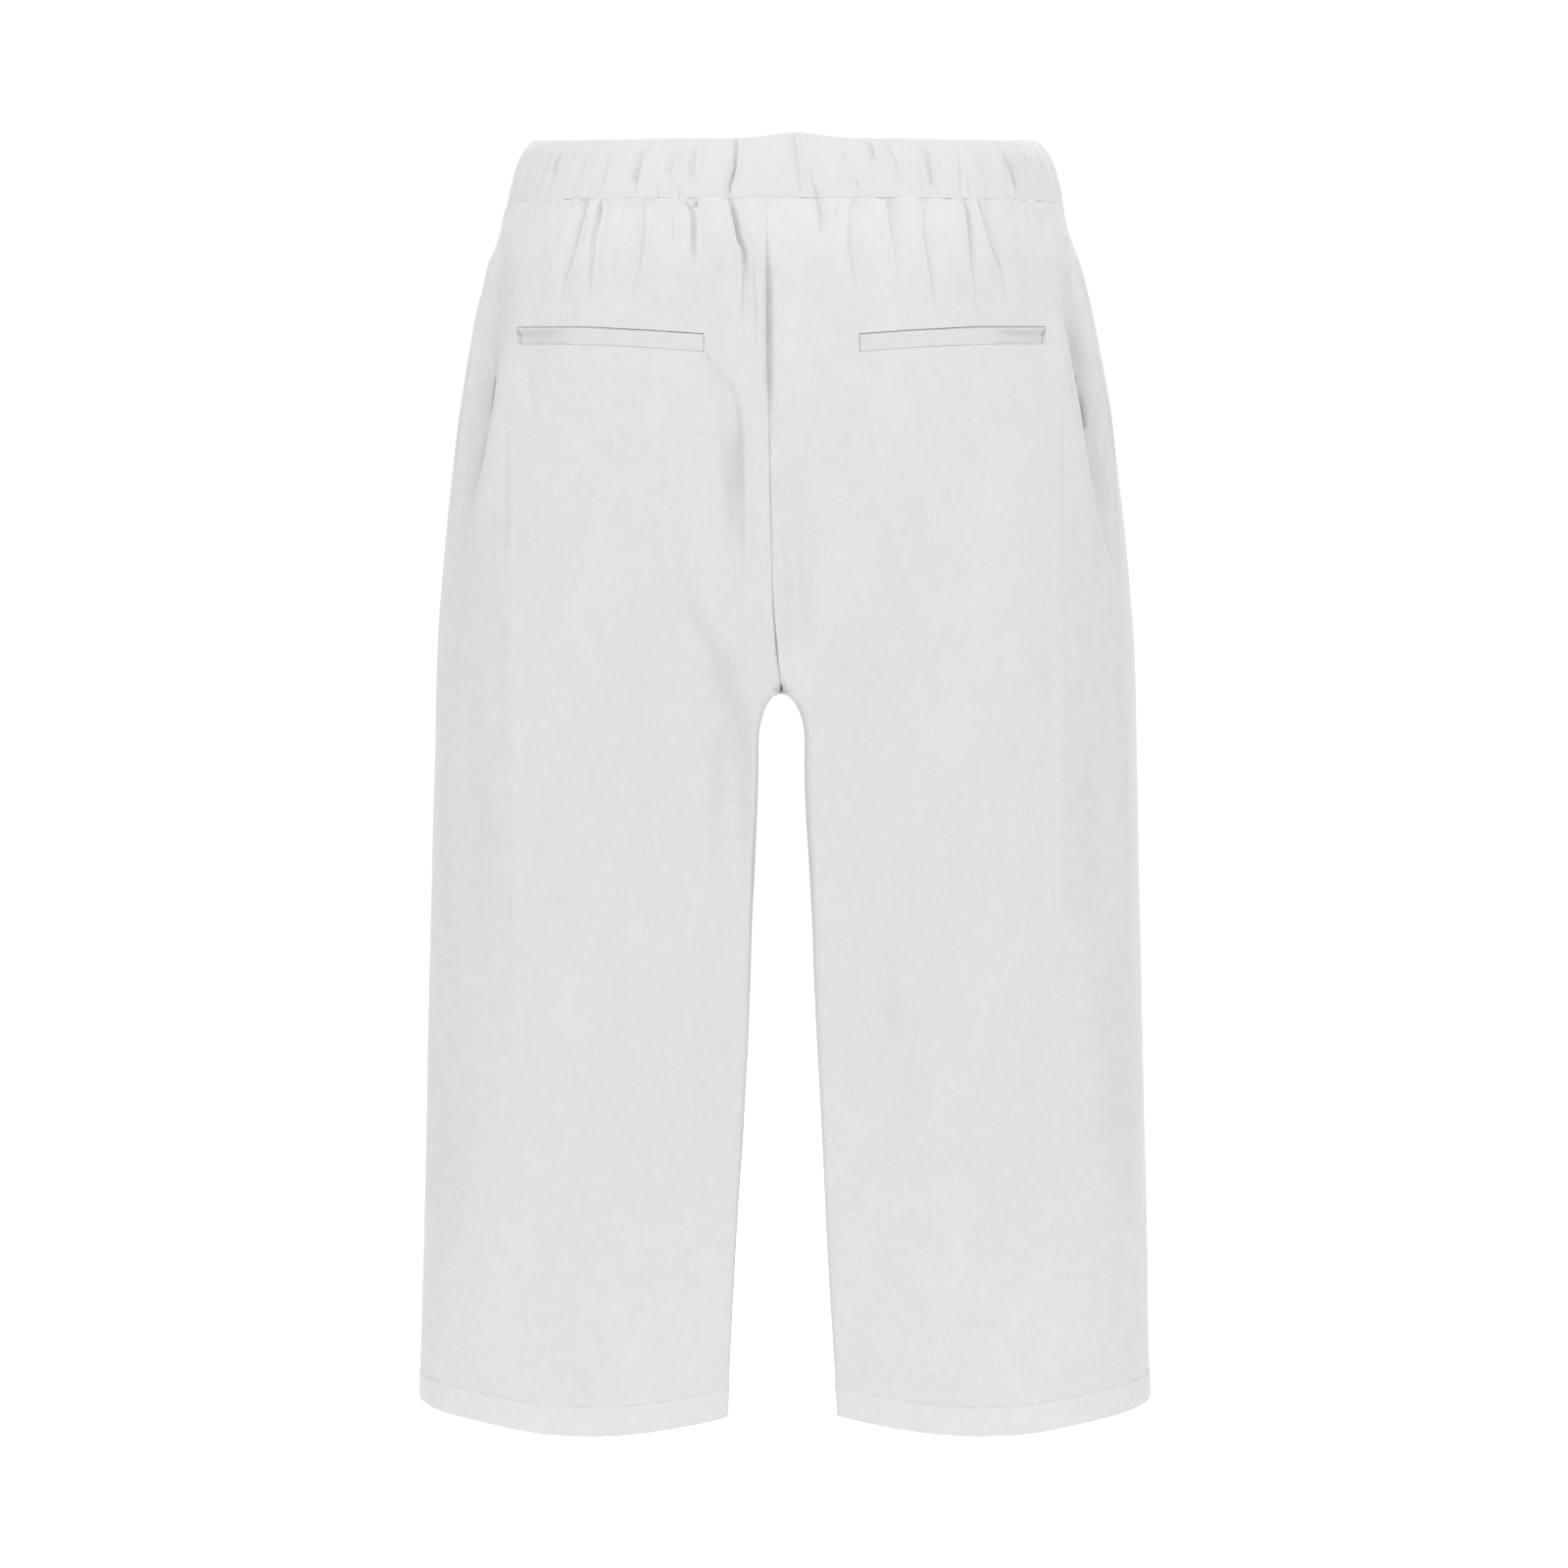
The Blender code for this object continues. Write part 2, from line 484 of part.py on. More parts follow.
def welt_strip(points, outward, hand):
    """A welt on a back panel, made from the panel's points between two of its rows, moved out."""
    drops = [drop for drop, _ in GATHER_ROWS]
    top = max(i for i, drop in enumerate(drops) if drop < min(d for _, d in WELT_TOP))
    if drops[top + 1] < max(d for _, d in WELT_TOP) + WELT_HEIGHT:
        raise ValueError("a row of the panel crosses the welt")
    upper, lower = points[top], points[top + 1]
    share = (WELT_TOP[0][1] - drops[top]) / (drops[top + 1] - drops[top])
    x = hand * (upper[:, 0] + (lower[:, 0] - upper[:, 0]) * share)
    columns = np.arange(len(x), dtype=float)
    start, end = np.interp(WELT_ENDS, x, columns)
    stops = [start] + [c for c in columns if start + 0.02 < c < end - 0.02] + [end]

    def on_panel(grid, row, column):
        k = min(int(column), len(columns) - 2)
        return grid[row, k] + (grid[row, k + 1] - grid[row, k]) * (column - k)

    verts, rings = [], []
    for c in stops:
        along_welt = (np.interp(c, columns, x) - WELT_ENDS[0]) / (WELT_ENDS[1] - WELT_ENDS[0])
        first = float(along(along_welt, *zip(*WELT_TOP)))
        ring = []
        for drop, lift in ((first, 0.0), (first, 1.0), (first + WELT_HEIGHT, 1.0), (first + WELT_HEIGHT, 0.0)):
            t = (drop - drops[top]) / (drops[top + 1] - drops[top])
            at = on_panel(points, top, c) * (1.0 - t) + on_panel(points, top + 1, c) * t
            out = unit(on_panel(outward, top, c) * (1.0 - t) + on_panel(outward, top + 1, c) * t)
            ring.append(len(verts))
            verts.append(at + out * (WELT_LIFT + WELT_CLOTH * lift))
        rings.append(ring)
    faces = [rings[0], rings[-1][::-1]]
    for a, b in zip(rings, rings[1:]):
        faces += [(a[k], b[k], b[(k + 1) % 4], a[(k + 1) % 4]) for k in range(4)]
    return verts, [f[::-1] if hand < 0 else f for f in faces]


def band_ring():
    """The waistband: the section of the casing carried round the waist, with a pucker at each row of the table."""
    x, y, _ = section(0.0, "back")
    quarter = float(np.sum(np.hypot(np.diff(x), np.diff(y))))
    xf, yf, _ = section(0.0, "front")
    front = float(np.sum(np.hypot(np.diff(xf), np.diff(yf))))
    half = quarter + front

    def ring_at(drop, girth):
        """Point and direction out of the plain ring at a girth measured at mid-height."""
        place = np.abs((girth + half) % (2.0 * half) - half)
        hand = np.where((girth + half) % (2.0 * half) - half < 0.0, -1.0, 1.0)
        found = []
        for nudge in (0.0, 0.8, -0.8):
            here = np.abs(place + nudge)
            flip = np.where(place + nudge < 0.0, -1.0, 1.0)
            over = here > half
            here = np.where(over, 2.0 * half - here, here)
            flip = np.where(over, -1.0, flip)
            at = np.zeros((len(girth), 2))
            for face, size, sign in (("back", quarter, 1.0), ("front", front, -1.0)):
                sx, sy, _ = section(drop, face)
                sway = np.concatenate([[0.0], np.cumsum(np.hypot(np.diff(sx), np.diff(sy)))])
                share = here / size if face == "back" else (half - here) / size
                mine = share <= 1.0 if face == "back" else share < 1.0
                px = np.interp(share * sway[-1], sway, sx)
                py = sign * np.interp(share * sway[-1], sway, sy)
                at[mine] = np.stack([px * flip, py], axis=-1)[mine]
            found.append(at)
        tangent = unit(found[1] - found[2])
        out = np.stack([-tangent[:, 1], tangent[:, 0]], axis=-1)
        centre = found[0]
        return centre * np.stack([hand, np.ones_like(hand)], -1), out * np.stack([hand, np.ones_like(hand)], -1)

    puckers = sorted(BAND_PUCKERS, key=lambda p: p[0] + p[1])
    counts = len(puckers)
    rings = []
    verts = []
    for lift, drop, share in BAND_SECTION:
        t = (drop - BAND_TOP) / (WAIST_SEAM - BAND_TOP)
        lines = [p[0] + (p[1] - p[0]) * t for p in puckers]
        lines.append(lines[0] + 2.0 * half)
        girth = np.interp(np.arange(counts * BAND_COLUMNS) / BAND_COLUMNS, np.arange(counts + 1), lines)
        at, out = ring_at(drop, girth)
        push = np.full(len(girth), lift)
        for p, line in zip(puckers, lines):
            away = (girth - line + half) % (2.0 * half) - half
            push += share * p[2] * trough(away, p[3])
        ring = at + out * push[:, None]
        rings.append(list(range(len(verts), len(verts) + len(ring))))
        high = smooth(-drop / -BAND_TOP) * np.where(ring[:, 1] > 0.0, smooth(ring[:, 1] / 100.0), 0.0)
        dip = high * (BAND_DIP - BAND_PEAK * np.exp(-(((ring[:, 0] - BAND_PEAK_X) / 20.0) ** 2)))
        verts += [(p[0], p[1], -drop - d) for p, d in zip(ring, dip)]
    faces = []
    for a, b in zip(rings, rings[1:] + rings[:1]):
        for j in range(len(a)):
            k = (j + 1) % len(a)
            faces.append((a[j], b[j], b[k], a[k]))
    return verts, faces


def cloth_material(name):
    material = bpy.data.materials.new(name)
    material.use_nodes = True
    shader = material.node_tree.nodes["Principled BSDF"]
    shader.inputs["Base Color"].default_value = CLOTH_COLOUR
    shader.inputs["Roughness"].default_value = 0.9
    shader.inputs["Metallic"].default_value = 0.0
    return material


def build():
    for thing in list(bpy.data.objects):
        bpy.data.objects.remove(thing, do_unlink=True)
    collection = bpy.data.collections.new("capri_pants")
    bpy.context.scene.collection.children.link(collection)
    points, outward = panel_points()
    for name, (face, hand) in PANELS.items():
        mirrored = (hand == 1) != (face == "back")
        verts, faces = panel_wall(points[name], outward[name], mirrored)
        add_object(name, verts, faces, collection, cloth_material(name + "_linen"))
    for name, panel in (("welt_left", "back_left"), ("welt_right", "back_right")):
        verts, faces = welt_strip(points[panel], outward[panel], PANELS[panel][1])
        add_object(name, verts, faces, collection, cloth_material(name + "_linen"), False)
    verts, faces = band_ring()
    add_object("waistband", verts, faces, collection, cloth_material("waistband_linen"))


build()
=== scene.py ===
"""Linen capri pants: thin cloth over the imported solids, with a gathered elastic waist and two back pockets.

The front faces -Y, the back +Y and the wearer's left is +X. Sizes are millimetres, and "drop" is the distance
below the middle of the waistband, so a drop of 19 is the waist seam and a drop of -19 is the band's top.
"""

import math

import bpy
import numpy as np
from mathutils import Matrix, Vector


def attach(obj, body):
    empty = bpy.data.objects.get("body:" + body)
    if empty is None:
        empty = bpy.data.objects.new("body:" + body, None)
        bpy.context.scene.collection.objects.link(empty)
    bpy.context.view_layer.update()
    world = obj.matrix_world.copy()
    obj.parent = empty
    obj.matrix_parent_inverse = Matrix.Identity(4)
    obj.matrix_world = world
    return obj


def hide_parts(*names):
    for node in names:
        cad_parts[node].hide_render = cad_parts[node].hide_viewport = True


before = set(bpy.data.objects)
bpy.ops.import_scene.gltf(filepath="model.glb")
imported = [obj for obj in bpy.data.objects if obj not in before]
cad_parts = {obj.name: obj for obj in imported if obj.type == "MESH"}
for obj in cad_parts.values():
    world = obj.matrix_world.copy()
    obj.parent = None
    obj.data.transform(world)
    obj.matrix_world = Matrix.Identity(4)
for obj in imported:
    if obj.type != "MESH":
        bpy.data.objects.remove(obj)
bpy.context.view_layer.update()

MM = 0.001
BAND_TOP, WAIST_SEAM, CROTCH, HEM = -19.0, 19.0, 306.6, 742.5  # drops
CLOTH = 1.0
HEM_FOLD = 2.4  # the hem is turned up inside, so its edge is this thick
HEM_DEPTH = 19.0
HEM_TILT = 7.0  # the hem is this much higher at the side seam than at the inseam, before its bow
HEM_BOW_INSIDE, HEM_BOW_OUTSIDE = 15.0, 6.2  # it rises this much towards the inseam and the side seam
HEM_DIP = 3.2  # and it is this much lower across the back
BOW_INSIDE_FROM, BOW_INSIDE_OVER = 118.0, 85.5
BOW_OUTSIDE_FROM, BOW_OUTSIDE_OVER = 132.0, 66.0
HEM_FORMS_FROM, HEM_FORMS_OVER = 560.0, 180.0  # the leg takes up the hem's tilt, bow and dip along here
LEG_MIDDLE, LEG_WIDTH = 126.0, 187.0
HEM_TOP = HEM - HEM_DEPTH
STITCH_LINE = HEM_TOP + 1.6
SEAM_GAP = 0.1
SEAT_POWER, SEAT_TURN = 95.0, 0.2  # how late and how sharply the seat turns under at the crotch
INNER_SQUARE = {"back": 60.0, "front": 12.0}  # how square the legs' inner corners are
INNER_ROUNDS_OVER = 170.0  # above the crotch these corners grow as round as the sides along this stretch
LEG_SQUARER, LEG_SQUARER_FROM, LEG_SQUARER_OVER = 0.6, 330.0, 220.0
WALL_LEAN, WALL_LEAN_FOR_GAP = 0.4, 0.03  # the walls between the legs lean apart towards the front
FOLD_SHARE, PUCKER_SHARE = 0.5, 0.55  # how much of the solids' broad gathers the cloth keeps
GRAIN_X = 105.0  # distance from the centre where the cloth's threads run straight down
ARCH_HEIGHT = 30.0
SECTION_POINTS = 260

# Half sections of the garment, as the solids have them.
SECTION_COLUMNS = ("drop", "side", "middle", "gap", "back", "front", "bridge", "square")
SECTIONS = (
    (-19, 151.5, 30, 13.2, 109, 107, 24, 2.3),
    (-11, 156, 30, 13.2, 111, 109, 24, 2.3),
    (0, 160, 30, 13.2, 112.8, 110.8, 24, 2.3),
    (19, 165.4, 31, 13.2, 114.5, 112, 24, 2.32),
    (34, 169, 32, 13.2, 116.4, 113, 24, 2.36),
    (44, 172.3, 33, 13.2, 117.8, 113.6, 24, 2.4),
    (56, 177.2, 35, 13.2, 119.8, 114.4, 24, 2.44),
    (72, 180.9, 38, 13.2, 122.5, 115.5, 24, 2.46),
    (107, 188.5, 46, 13.2, 128, 118, 27, 2.5),
    (142, 194.5, 56, 13.2, 132.5, 120, 30, 2.52),
    (178, 198.9, 66, 13.2, 135, 121, 30, 2.52),
    (213, 202.9, 76, 13.2, 135.8, 121, 27, 2.52),
    (249, 206.2, 86, 13.2, 135, 120.5, 16, 2.5),
    (284, 208.6, 96, 13.2, 132.8, 119.5, 5, 2.48),
    (308.9, 209.4, 102, 13.8, 130, 118.4, 1.6, 2.46),
    (343, 210.2, 106, 14.3, 126.6, 116.4, 2.6, 2.44),
    (414, 212, 112, 16.6, 119, 111, 2.2, 2.4),
    (485, 213.6, 115.5, 19.5, 112, 106, 2, 2.36),
    (555, 215.4, 118.5, 22.8, 106, 102, 0.5, 2.32),
    (626, 217.4, 121.5, 26.2, 101, 98.5, 0.5, 2.28),
    (697, 218.8, 124.3, 29.9, 98, 96.2, 0.5, 2.26),
    (743, 219.8, 126, 32.4, 96.5, 95, 0.5, 2.25),
)
SEAM_DRIFT = {  # how far the centre seams wander to the left: drop, distance
    "back": (
        (-19, 11), (19, 11.1), (66, 10.3), (97, 10.1), (132, 9.5), (188, 9),
        (223, 8), (245, 7.5), (280, 4.8), (308.9, 1.8),
    ),
    "front": ((-19, 0), (180, 0), (308.9, 1.8)),
}

# Broad folds, as the solids have them: troughs with a low ridge along each side.
FOLD_COLUMNS = ("x_top", "drop_top", "x_low", "drop_low", "bow", "depth", "width", "strong")
FOLD_START = 0.55  # share of its depth that a fold has where it comes out of the waist seam
BACK_FOLDS = (
    (117, 19, 133, 92, 2, 3.4, 7, 0.25),
    (106, 19, 115, 88, 0, 2.6, 5.5, 0.15),
    (80.5, 19, 93, 104, 2, 3, 8, 0.3),
    (54, 19, 52, 72, -3, 3, 7, 0.15),
    (30.5, 19, 21.5, 108, -2, 4.4, 7.5, 0.25),
    (-20, 19, -22.5, 60, 0, 2, 6, 0.1),
    (-38, 19, -46.5, 92, 1, 3, 7.5, 0.3),
    (-60.5, 19, -72.5, 92, 1, 3, 7.5, 0.3),
    (-80, 19, -91.5, 96, 1, 3.2, 7.5, 0.3),
    (-105.5, 19, -114.5, 90, 0, 2.6, 5.5, 0.2),
    (-116, 19, -133, 94, 2, 3.4, 7, 0.3),
    (160.5, 26, 202, 262, -6, 6, 15, 0.42),
    (-160.5, 26, -202, 256, -6, 6, 15, 0.42),
    (48, 106, 21, 236, -5, 2.6, 10, 0.35),
    (-47, 112, -24, 226, 4, 1.6, 11, 0.45),
    (84, 212, 22, 470, -14, 3.6, 20, 0.45),
    (-70, 250, -24, 440, -10, 2.6, 20, 0.55),
    (188, 275, 184, 500, 0, 4.2, 24, 0.45),
    (-188, 268, -184, 505, 0, 4.4, 24, 0.45),
    (50, 430, 58, 640, -4, 3, 24, 0.5),
    (-46, 400, -60, 620, -4, 3, 24, 0.45),
)
FRONT_FOLDS = (
    (126, 19, 142, 96, 2, 3.2, 7.5, 0.25),
    (102, 19, 112, 84, 1, 2.8, 7, 0.2),
    (77, 19, 84, 106, 2, 3.2, 8, 0.3),
    (50, 19, 53, 78, 0, 2.8, 7, 0.2),
    (24.5, 19, 27, 98, 1, 3.4, 7.5, 0.25),
    (-21, 19, -22, 84, 1, 2.8, 7, 0.2),
    (-44, 19, -49, 102, 2, 3.4, 8, 0.3),
    (-72, 19, -77, 80, 0, 2.8, 7, 0.2),
    (-97, 19, -106, 98, 1, 3.2, 7.5, 0.3),
    (-124, 19, -139, 90, 2, 3, 7.5, 0.25),
    (159, 28, 196, 236, -5, 5, 15, 0.42),
    (-159, 28, -196, 244, -5, 5, 15, 0.42),
    (26, 180, 74, 292, 6, 2.8, 13, 0.35),
    (-30, 172, -82, 286, 6, 3, 13, 0.4),
    (62, 262, 24, 430, -8, 2.6, 19, 0.5),
    (-56, 276, -26, 450, -8, 2.8, 19, 0.5),
    (187, 290, 183, 520, 0, 4, 24, 0.45),
    (-187, 300, -183, 510, 0, 4, 24, 0.45),
    (66, 420, 72, 640, -4, 3, 24, 0.5),
    (-70, 440, -64, 650, 4, 3, 24, 0.5),
)
SEAM_FOLDS = {"back": (46, 150, 1.8, 4), "front": (30, 118, 1.6, 5)}  # along the centre: drops, depth, width


def both(line):
    """A crease or ridge, and its mirror image on the other side."""
    points, *sizes = line
    return line, (tuple((-x, drop) for x, drop in points), *sizes)


# Sharp creases of the panels: points of the line (x, drop), depth, width, where along it the crease is
# deepest, and how much of its depth it has at its upper end.
BACK_CREASES = (
    (((114.9, 19), (116.9, 27), (125.2, 56), (130.8, 74), (132.9, 96)), 4.3, 1.37, 0.16, 0.9),
    (((107, 19), (109.4, 34), (110.9, 41), (115.4, 84)), 3, 1.22, 0.12, 0.9),
    (((83.1, 19), (85.9, 54), (90.4, 76), (92.3, 96)), 2.2, 2.45, 0.4, 0.7),
    (((59, 19), (53.7, 28), (52.5, 38), (53.9, 66)), 3.6, 1.15, 0.45, 0.6),
    (((50, 19), (54.3, 28)), 3.2, 1.08, 0.4, 0.8),
    (((67.1, 19), (66.1, 40), (67.1, 64)), 1, 1.44, 0.4, 0.5),
    (((32.8, 19), (30, 30), (27.6, 42), (24.6, 50.6), (24.2, 60), (24, 86)), 4.4, -1.15, 0.34, 0.9),
    (((20.1, 44), (19.1, 70), (18.1, 96), (20.1, 126)), 1.3, 2.16, 0.5, 0),
    (((16.3, 19), (16.1, 33)), 1, 1.15, 0.06, 0),
    (((92, 19), (95.9, 30), (97.1, 44)), 0.7, 1.15, 0.2, 0.8),
    (((-1.9, 19), (-2.3, 32)), 0.8, 1.15, 0.06, 0),
    (((-18.2, 19), (-20.3, 34), (-21.3, 50)), 2.2, 1.08, 0.2, 0.8),
    (((-30.4, 19), (-29.4, 36)), 1.2, 1.08, 0.4, 0.4),
    (((-39.4, 19), (-37.7, 42), (-40.2, 61), (-43.1, 84)), 2.4, 2.3, 0.5, 0.8),
    (((-59.1, 19), (-62.6, 39), (-65.8, 61), (-68.4, 84)), 1.9, 1.44, 0.4, 1),
    (((-50.9, 19), (-51.9, 34)), 0.7, 1.08, 0.2, 0.8),
    (((-82.4, 19), (-81.2, 35), (-84, 58), (-90.6, 96)), 2, 1.58, 0.5, 0.6),
    (((-103.2, 19), (-105.8, 29), (-109.9, 61), (-114.1, 84)), 3, 1.22, 0.08, 0.9),
    (((-94.9, 19), (-95.9, 32)), 0.5, 1.08, 0.2, 0.7),
    (((-111.4, 19), (-117.7, 40.4), (-125.9, 62), (-129.9, 88)), 4.2, 1.37, 0.25, 0.9),
    (((-144.9, 19), (-148.9, 48)), 0.6, 1.44, 0.2, 0.6),
    (((145.1, 19), (150.1, 52)), 0.6, 1.44, 0.2, 0.6),
    (((129.1, 19), (132.1, 36)), 0.5, 1.15, 0.2, 0.7),
    # drag lines from the pockets' inner ends
    (((47.5, 108), (44.9, 112.5), (41.9, 118.5)), 1.1, 0.9, 0.3, 0.6),
    (((47.3, 108.8), (40.6, 120.2), (31.6, 131.6), (28.2, 148.7), (27.6, 165), (27.6, 189), (27, 223),
       (25.5, 262)), 6.4, 4.2, 0.5, 0.15),
    (((-43.1, 110), (-40.6, 130), (-35.1, 165)), 0.9, 3.2, 0.25, 0.6),
    (((150.9, 108), (148.9, 128), (141.9, 160)), 0.9, 4, 0.3, 0.5),
    (((-147.1, 108), (-146.1, 134)), 0.8, 4, 0.3, 0.5),
    # hollows beside the hips, outside the ridges
    (((167, 38), (169, 49), (172, 63), (174.4, 80), (178, 103), (182.6, 132), (187, 160), (190, 189),
       (194, 223), (199, 262)), 13.5, -7.4, 0.5, 0.1),
    (((-166, 38), (-168, 49), (-170.5, 63), (-172.5, 80), (-176, 103), (-182.5, 132), (-187, 160),
       (-189.5, 189), (-194, 223), (-199, 260)), 13.5, -7.4, 0.5, 0.1),
    # folds that break over the thighs
    (((84.9, 196), (76.9, 226), (66.9, 262)), 1.2, 6, 0.5, 0),
    (((-37.1, 252), (-26.1, 286), (-20.1, 318)), 1, 5, 0.5, 0),
    (((-5, 168), (-6.5, 240), (-6, 302)), 2.8, 6, 0.6, 0),
    # soft lower ends of two gathers
    (((105, 22), (109.8, 34), (111.6, 41), (114.6, 84)), 1.1, 1.3, 0.7, 0.3),
    (((-104, 22), (-106, 34), (-108.6, 61), (-113, 90)), 1.2, 1.4, 0.7, 0.3),
    (((24.5, 50), (23.2, 61), (24, 76), (22, 112)), 1.3, -1.8, 0.6, 0.2),
    # soft lines inside the hips' ridges
    (((162.5, 126), (162.5, 190), (163, 262)), 1.5, 3, 0.5, 0),
    (((-161, 126), (-161.5, 190), (-161.5, 262)), 1.5, 3, 0.5, 0),
)
FRONT_CREASES = (
    (((138, 19), (143, 48)), 1.4, 1.37, 0.2, 0.7),
    (((125, 19), (129, 40), (137, 66), (140, 88)), 2.8, 1.44, 0.35, 0.5),
    (((101, 19), (104, 46), (110, 74)), 2.6, 1.3, 0.2, 0.8),
    (((88, 19), (89, 34)), 1.1, 1.08, 0.2, 0.8),
    (((76, 19), (79, 40), (81, 62), (83.5, 98)), 2.6, 1.73, 0.35, 0.5),
    (((61, 19), (60, 34)), 1.3, 1.15, 0.2, 0.8),
    (((49.5, 19), (51, 38), (52.5, 68)), 2.8, 1.3, 0.25, 0.7),
    (((36, 19), (37, 36)), 1.2, 1.15, 0.2, 0.8),
    (((24, 19), (26, 44), (25, 62), (27, 90)), 3.2, 1.44, 0.3, 0.7),
    (((10, 19), (9, 36)), 1.2, 1.22, 0.2, 0.7),
    (((-20.5, 19), (-22.5, 42), (-21.5, 74)), 2.8, 1.3, 0.25, 0.7),
    (((-33, 19), (-34, 32)), 1.3, 1.08, 0.2, 0.8),
    (((-43.5, 19), (-47, 46), (-46, 70), (-49, 94)), 3, 1.58, 0.35, 0.5),
    (((-58, 19), (-59, 38)), 1.2, 1.15, 0.2, 0.8),
    (((-71, 19), (-75, 45), (-76.5, 70)), 2.5, 1.3, 0.2, 0.7),
    (((-96.5, 19), (-100, 50), (-105, 90)), 2.8, 1.58, 0.3, 0.6),
    (((-112, 19), (-113, 36)), 1.2, 1.15, 0.2, 0.8),
    (((-123, 19), (-128, 44), (-137, 82)), 2.8, 1.44, 0.35, 0.5),
    (((-140, 19), (-146, 52)), 1.3, 1.44, 0.2, 0.7),
    # hollows beside the hips
    (((160, 36), (168, 92), (178, 140), (186, 190), (192, 244)), 7, -7.5, 0.5, 0),
    (((-160, 34), (-168, 92), (-178, 140), (-187, 190), (-193, 250)), 7, -7.5, 0.5, 0),
    # lines that pull from the crotch over the thighs
    (((30, 188), (48, 236), (70, 282)), 1.8, 5, 0.4, 0),
    (((-33, 180), (-54, 232), (-78, 276)), 1.8, 5, 0.45, 0),
    (((20, 226), (30, 262), (48, 300)), 1.3, 5, 0.45, 0),
    (((-20, 236), (-32, 270), (-52, 312)), 1.3, 5, 0.45, 0),
    (((58, 250), (44, 290), (32, 340), (29, 430)), 2.6, 9, 0.35, 0),
    (((-56, 262), (-42, 300), (-32, 350), (-29, 440)), 2.6, 9, 0.35, 0),
)
# Soft ridges, in the same columns: where the flat back or front turns to the side, and beside the gathers.
BACK_RIDGES = (
    (((156, 44), (159.5, 63), (161.2, 80), (163, 103), (167, 132), (171.7, 160), (177.5, 190), (180, 250)),
      3.2, 6, 0.45, 0.2),
    (((-152.5, 44), (-156, 63), (-158.3, 80), (-161, 103), (-167.6, 132), (-171.7, 160), (-175, 190),
       (-179, 250)), 3.2, 6, 0.45, 0.2),
    *both((((170.5, 46), (174, 63), (177.5, 80), (182, 103), (187, 134)), 2.4, 4.5, 0.45, 0.1)),
    (((159, 150), (159.5, 260), (159, 420), (160, 590)), 1.4, 5, 0.35, 0),
    (((-159, 150), (-159.5, 260), (-159, 420), (-160, 590)), 1.4, 5, 0.45, 0),
    # negative depths are hollows: beside the hips, over the thigh, and the seat drawn in above the crotch
    (((165.5, 40), (170, 63), (172.5, 80), (175, 103), (179, 132), (183.5, 160), (187, 189), (194, 230)),
      -8.5, 8, 0.5, 0.1),
    (((-165.5, 40), (-169, 63), (-170.5, 80), (-173.5, 103), (-179, 132), (-183.5, 160), (-186.5, 189),
       (-194, 230)), -8.5, 8, 0.5, 0.1),
    (((72, 205), (57.5, 257), (42, 291), (31, 337), (32, 388), (31, 430), (25, 500)), -9, 9.5, 0.42, 0.05),
    (((-2, 150), (-3, 230), (-8, 303)), -6, 9, 0.8, 0.1),
    (((2, 190), (2, 262), (2, 303)), -3.1, 10, 0.86, 0),
    (((138, 300), (141, 420), (143, 520)), 0.7, 9, 0.5, 0),
    (((-140, 560), (-146, 640), (-150, 716)), 0.6, 8, 0.5, 0),
    (((186, 540), (190, 640), (192, 730)), 0.8, 7, 0.55, 0),
    (((157.5, 250), (157, 330), (158, 430), (158, 500)), 0.8, 2.2, 0.55, 0),
    (((-154.5, 300), (-155, 420), (-156, 560)), 0.7, 2.2, 0.55, 0),
    (((-188, 560), (-192, 650), (-194, 730)), 0.8, 7, 0.55, 0),
)
FRONT_RIDGES = (
    *both((((154, 32), (158, 120), (158, 260), (157, 430), (158, 600)), 1.3, 6, 0.4, 0.2)),
    (((126, 280), (128, 440), (130, 600)), 0.7, 9, 0.5, 0),
    (((-124, 300), (-128, 460), (-130, 620)), 0.7, 9, 0.5, 0),
)

# Puckers of the band, as the solid has them: girth at the top and at the seam, depth and width. Girth is
# the way round from the centre back, plus to the left.
BAND_PUCKERS = (
    (-5, -10, 2.2, 4.5), (-14.5, -19.5, 1.6, 4), (-33, -34, 1, 5), (-50, -53, 1.4, 4.5),
    (-61, -68, 1.8, 4.5), (-83, -90.5, 2.4, 5), (-104, -108, 1.8, 4.5), (-119, -124, 1, 5),
    (-133, -145, 2.4, 5), (-150, -158, 1.6, 4.5), (-172, -177, 1.8, 5), (-193, -196, 1.6, 5),
    (-213, -215, 2, 5), (-233, -238, 1.6, 5), (-252, -255, 2, 5), (-272, -268, 1.6, 5),
    (-291, -294, 2.2, 5), (-309, -306, 1.6, 4.5), (-328, -331, 2, 5), (-350, -346, 2.2, 5),
    (-369, -371, 1.6, 5), (-389, -392, 2.2, 5), (-409, -406, 1.8, 5), (-428, -431, 2, 5),
    (27.5, 31, 3.2, 5.5), (50.5, 55.5, 1.6, 4.5), (63, 69, 1.8, 4.5), (84, 89.5, 2.6, 5),
    (103.5, 111.5, 2, 5), (122, 126, 1, 5), (137, 147, 1.8, 4.5), (151, 159, 1.6, 4.5), (171, 178, 2, 5),
    (192, 194, 1.6, 5), (211, 215, 2, 5), (231, 229, 1.6, 5), (249, 254, 2.2, 5), (270, 272, 1.6, 5),
    (288, 285, 2, 5), (308, 312, 2.2, 5), (329, 327, 1.6, 5), (348, 351, 2.2, 5), (368, 365, 1.8, 5),
    (388, 391, 2, 5), (408, 410, 1.6, 5), (427, 424, 2.2, 5),
)
BAND_DIP = 3.4  # the top edge sinks this much across the back, but not at its peak
BAND_PEAK, BAND_PEAK_X, BAND_PEAK_WIDTH = 3.4, -6.0, 20.0
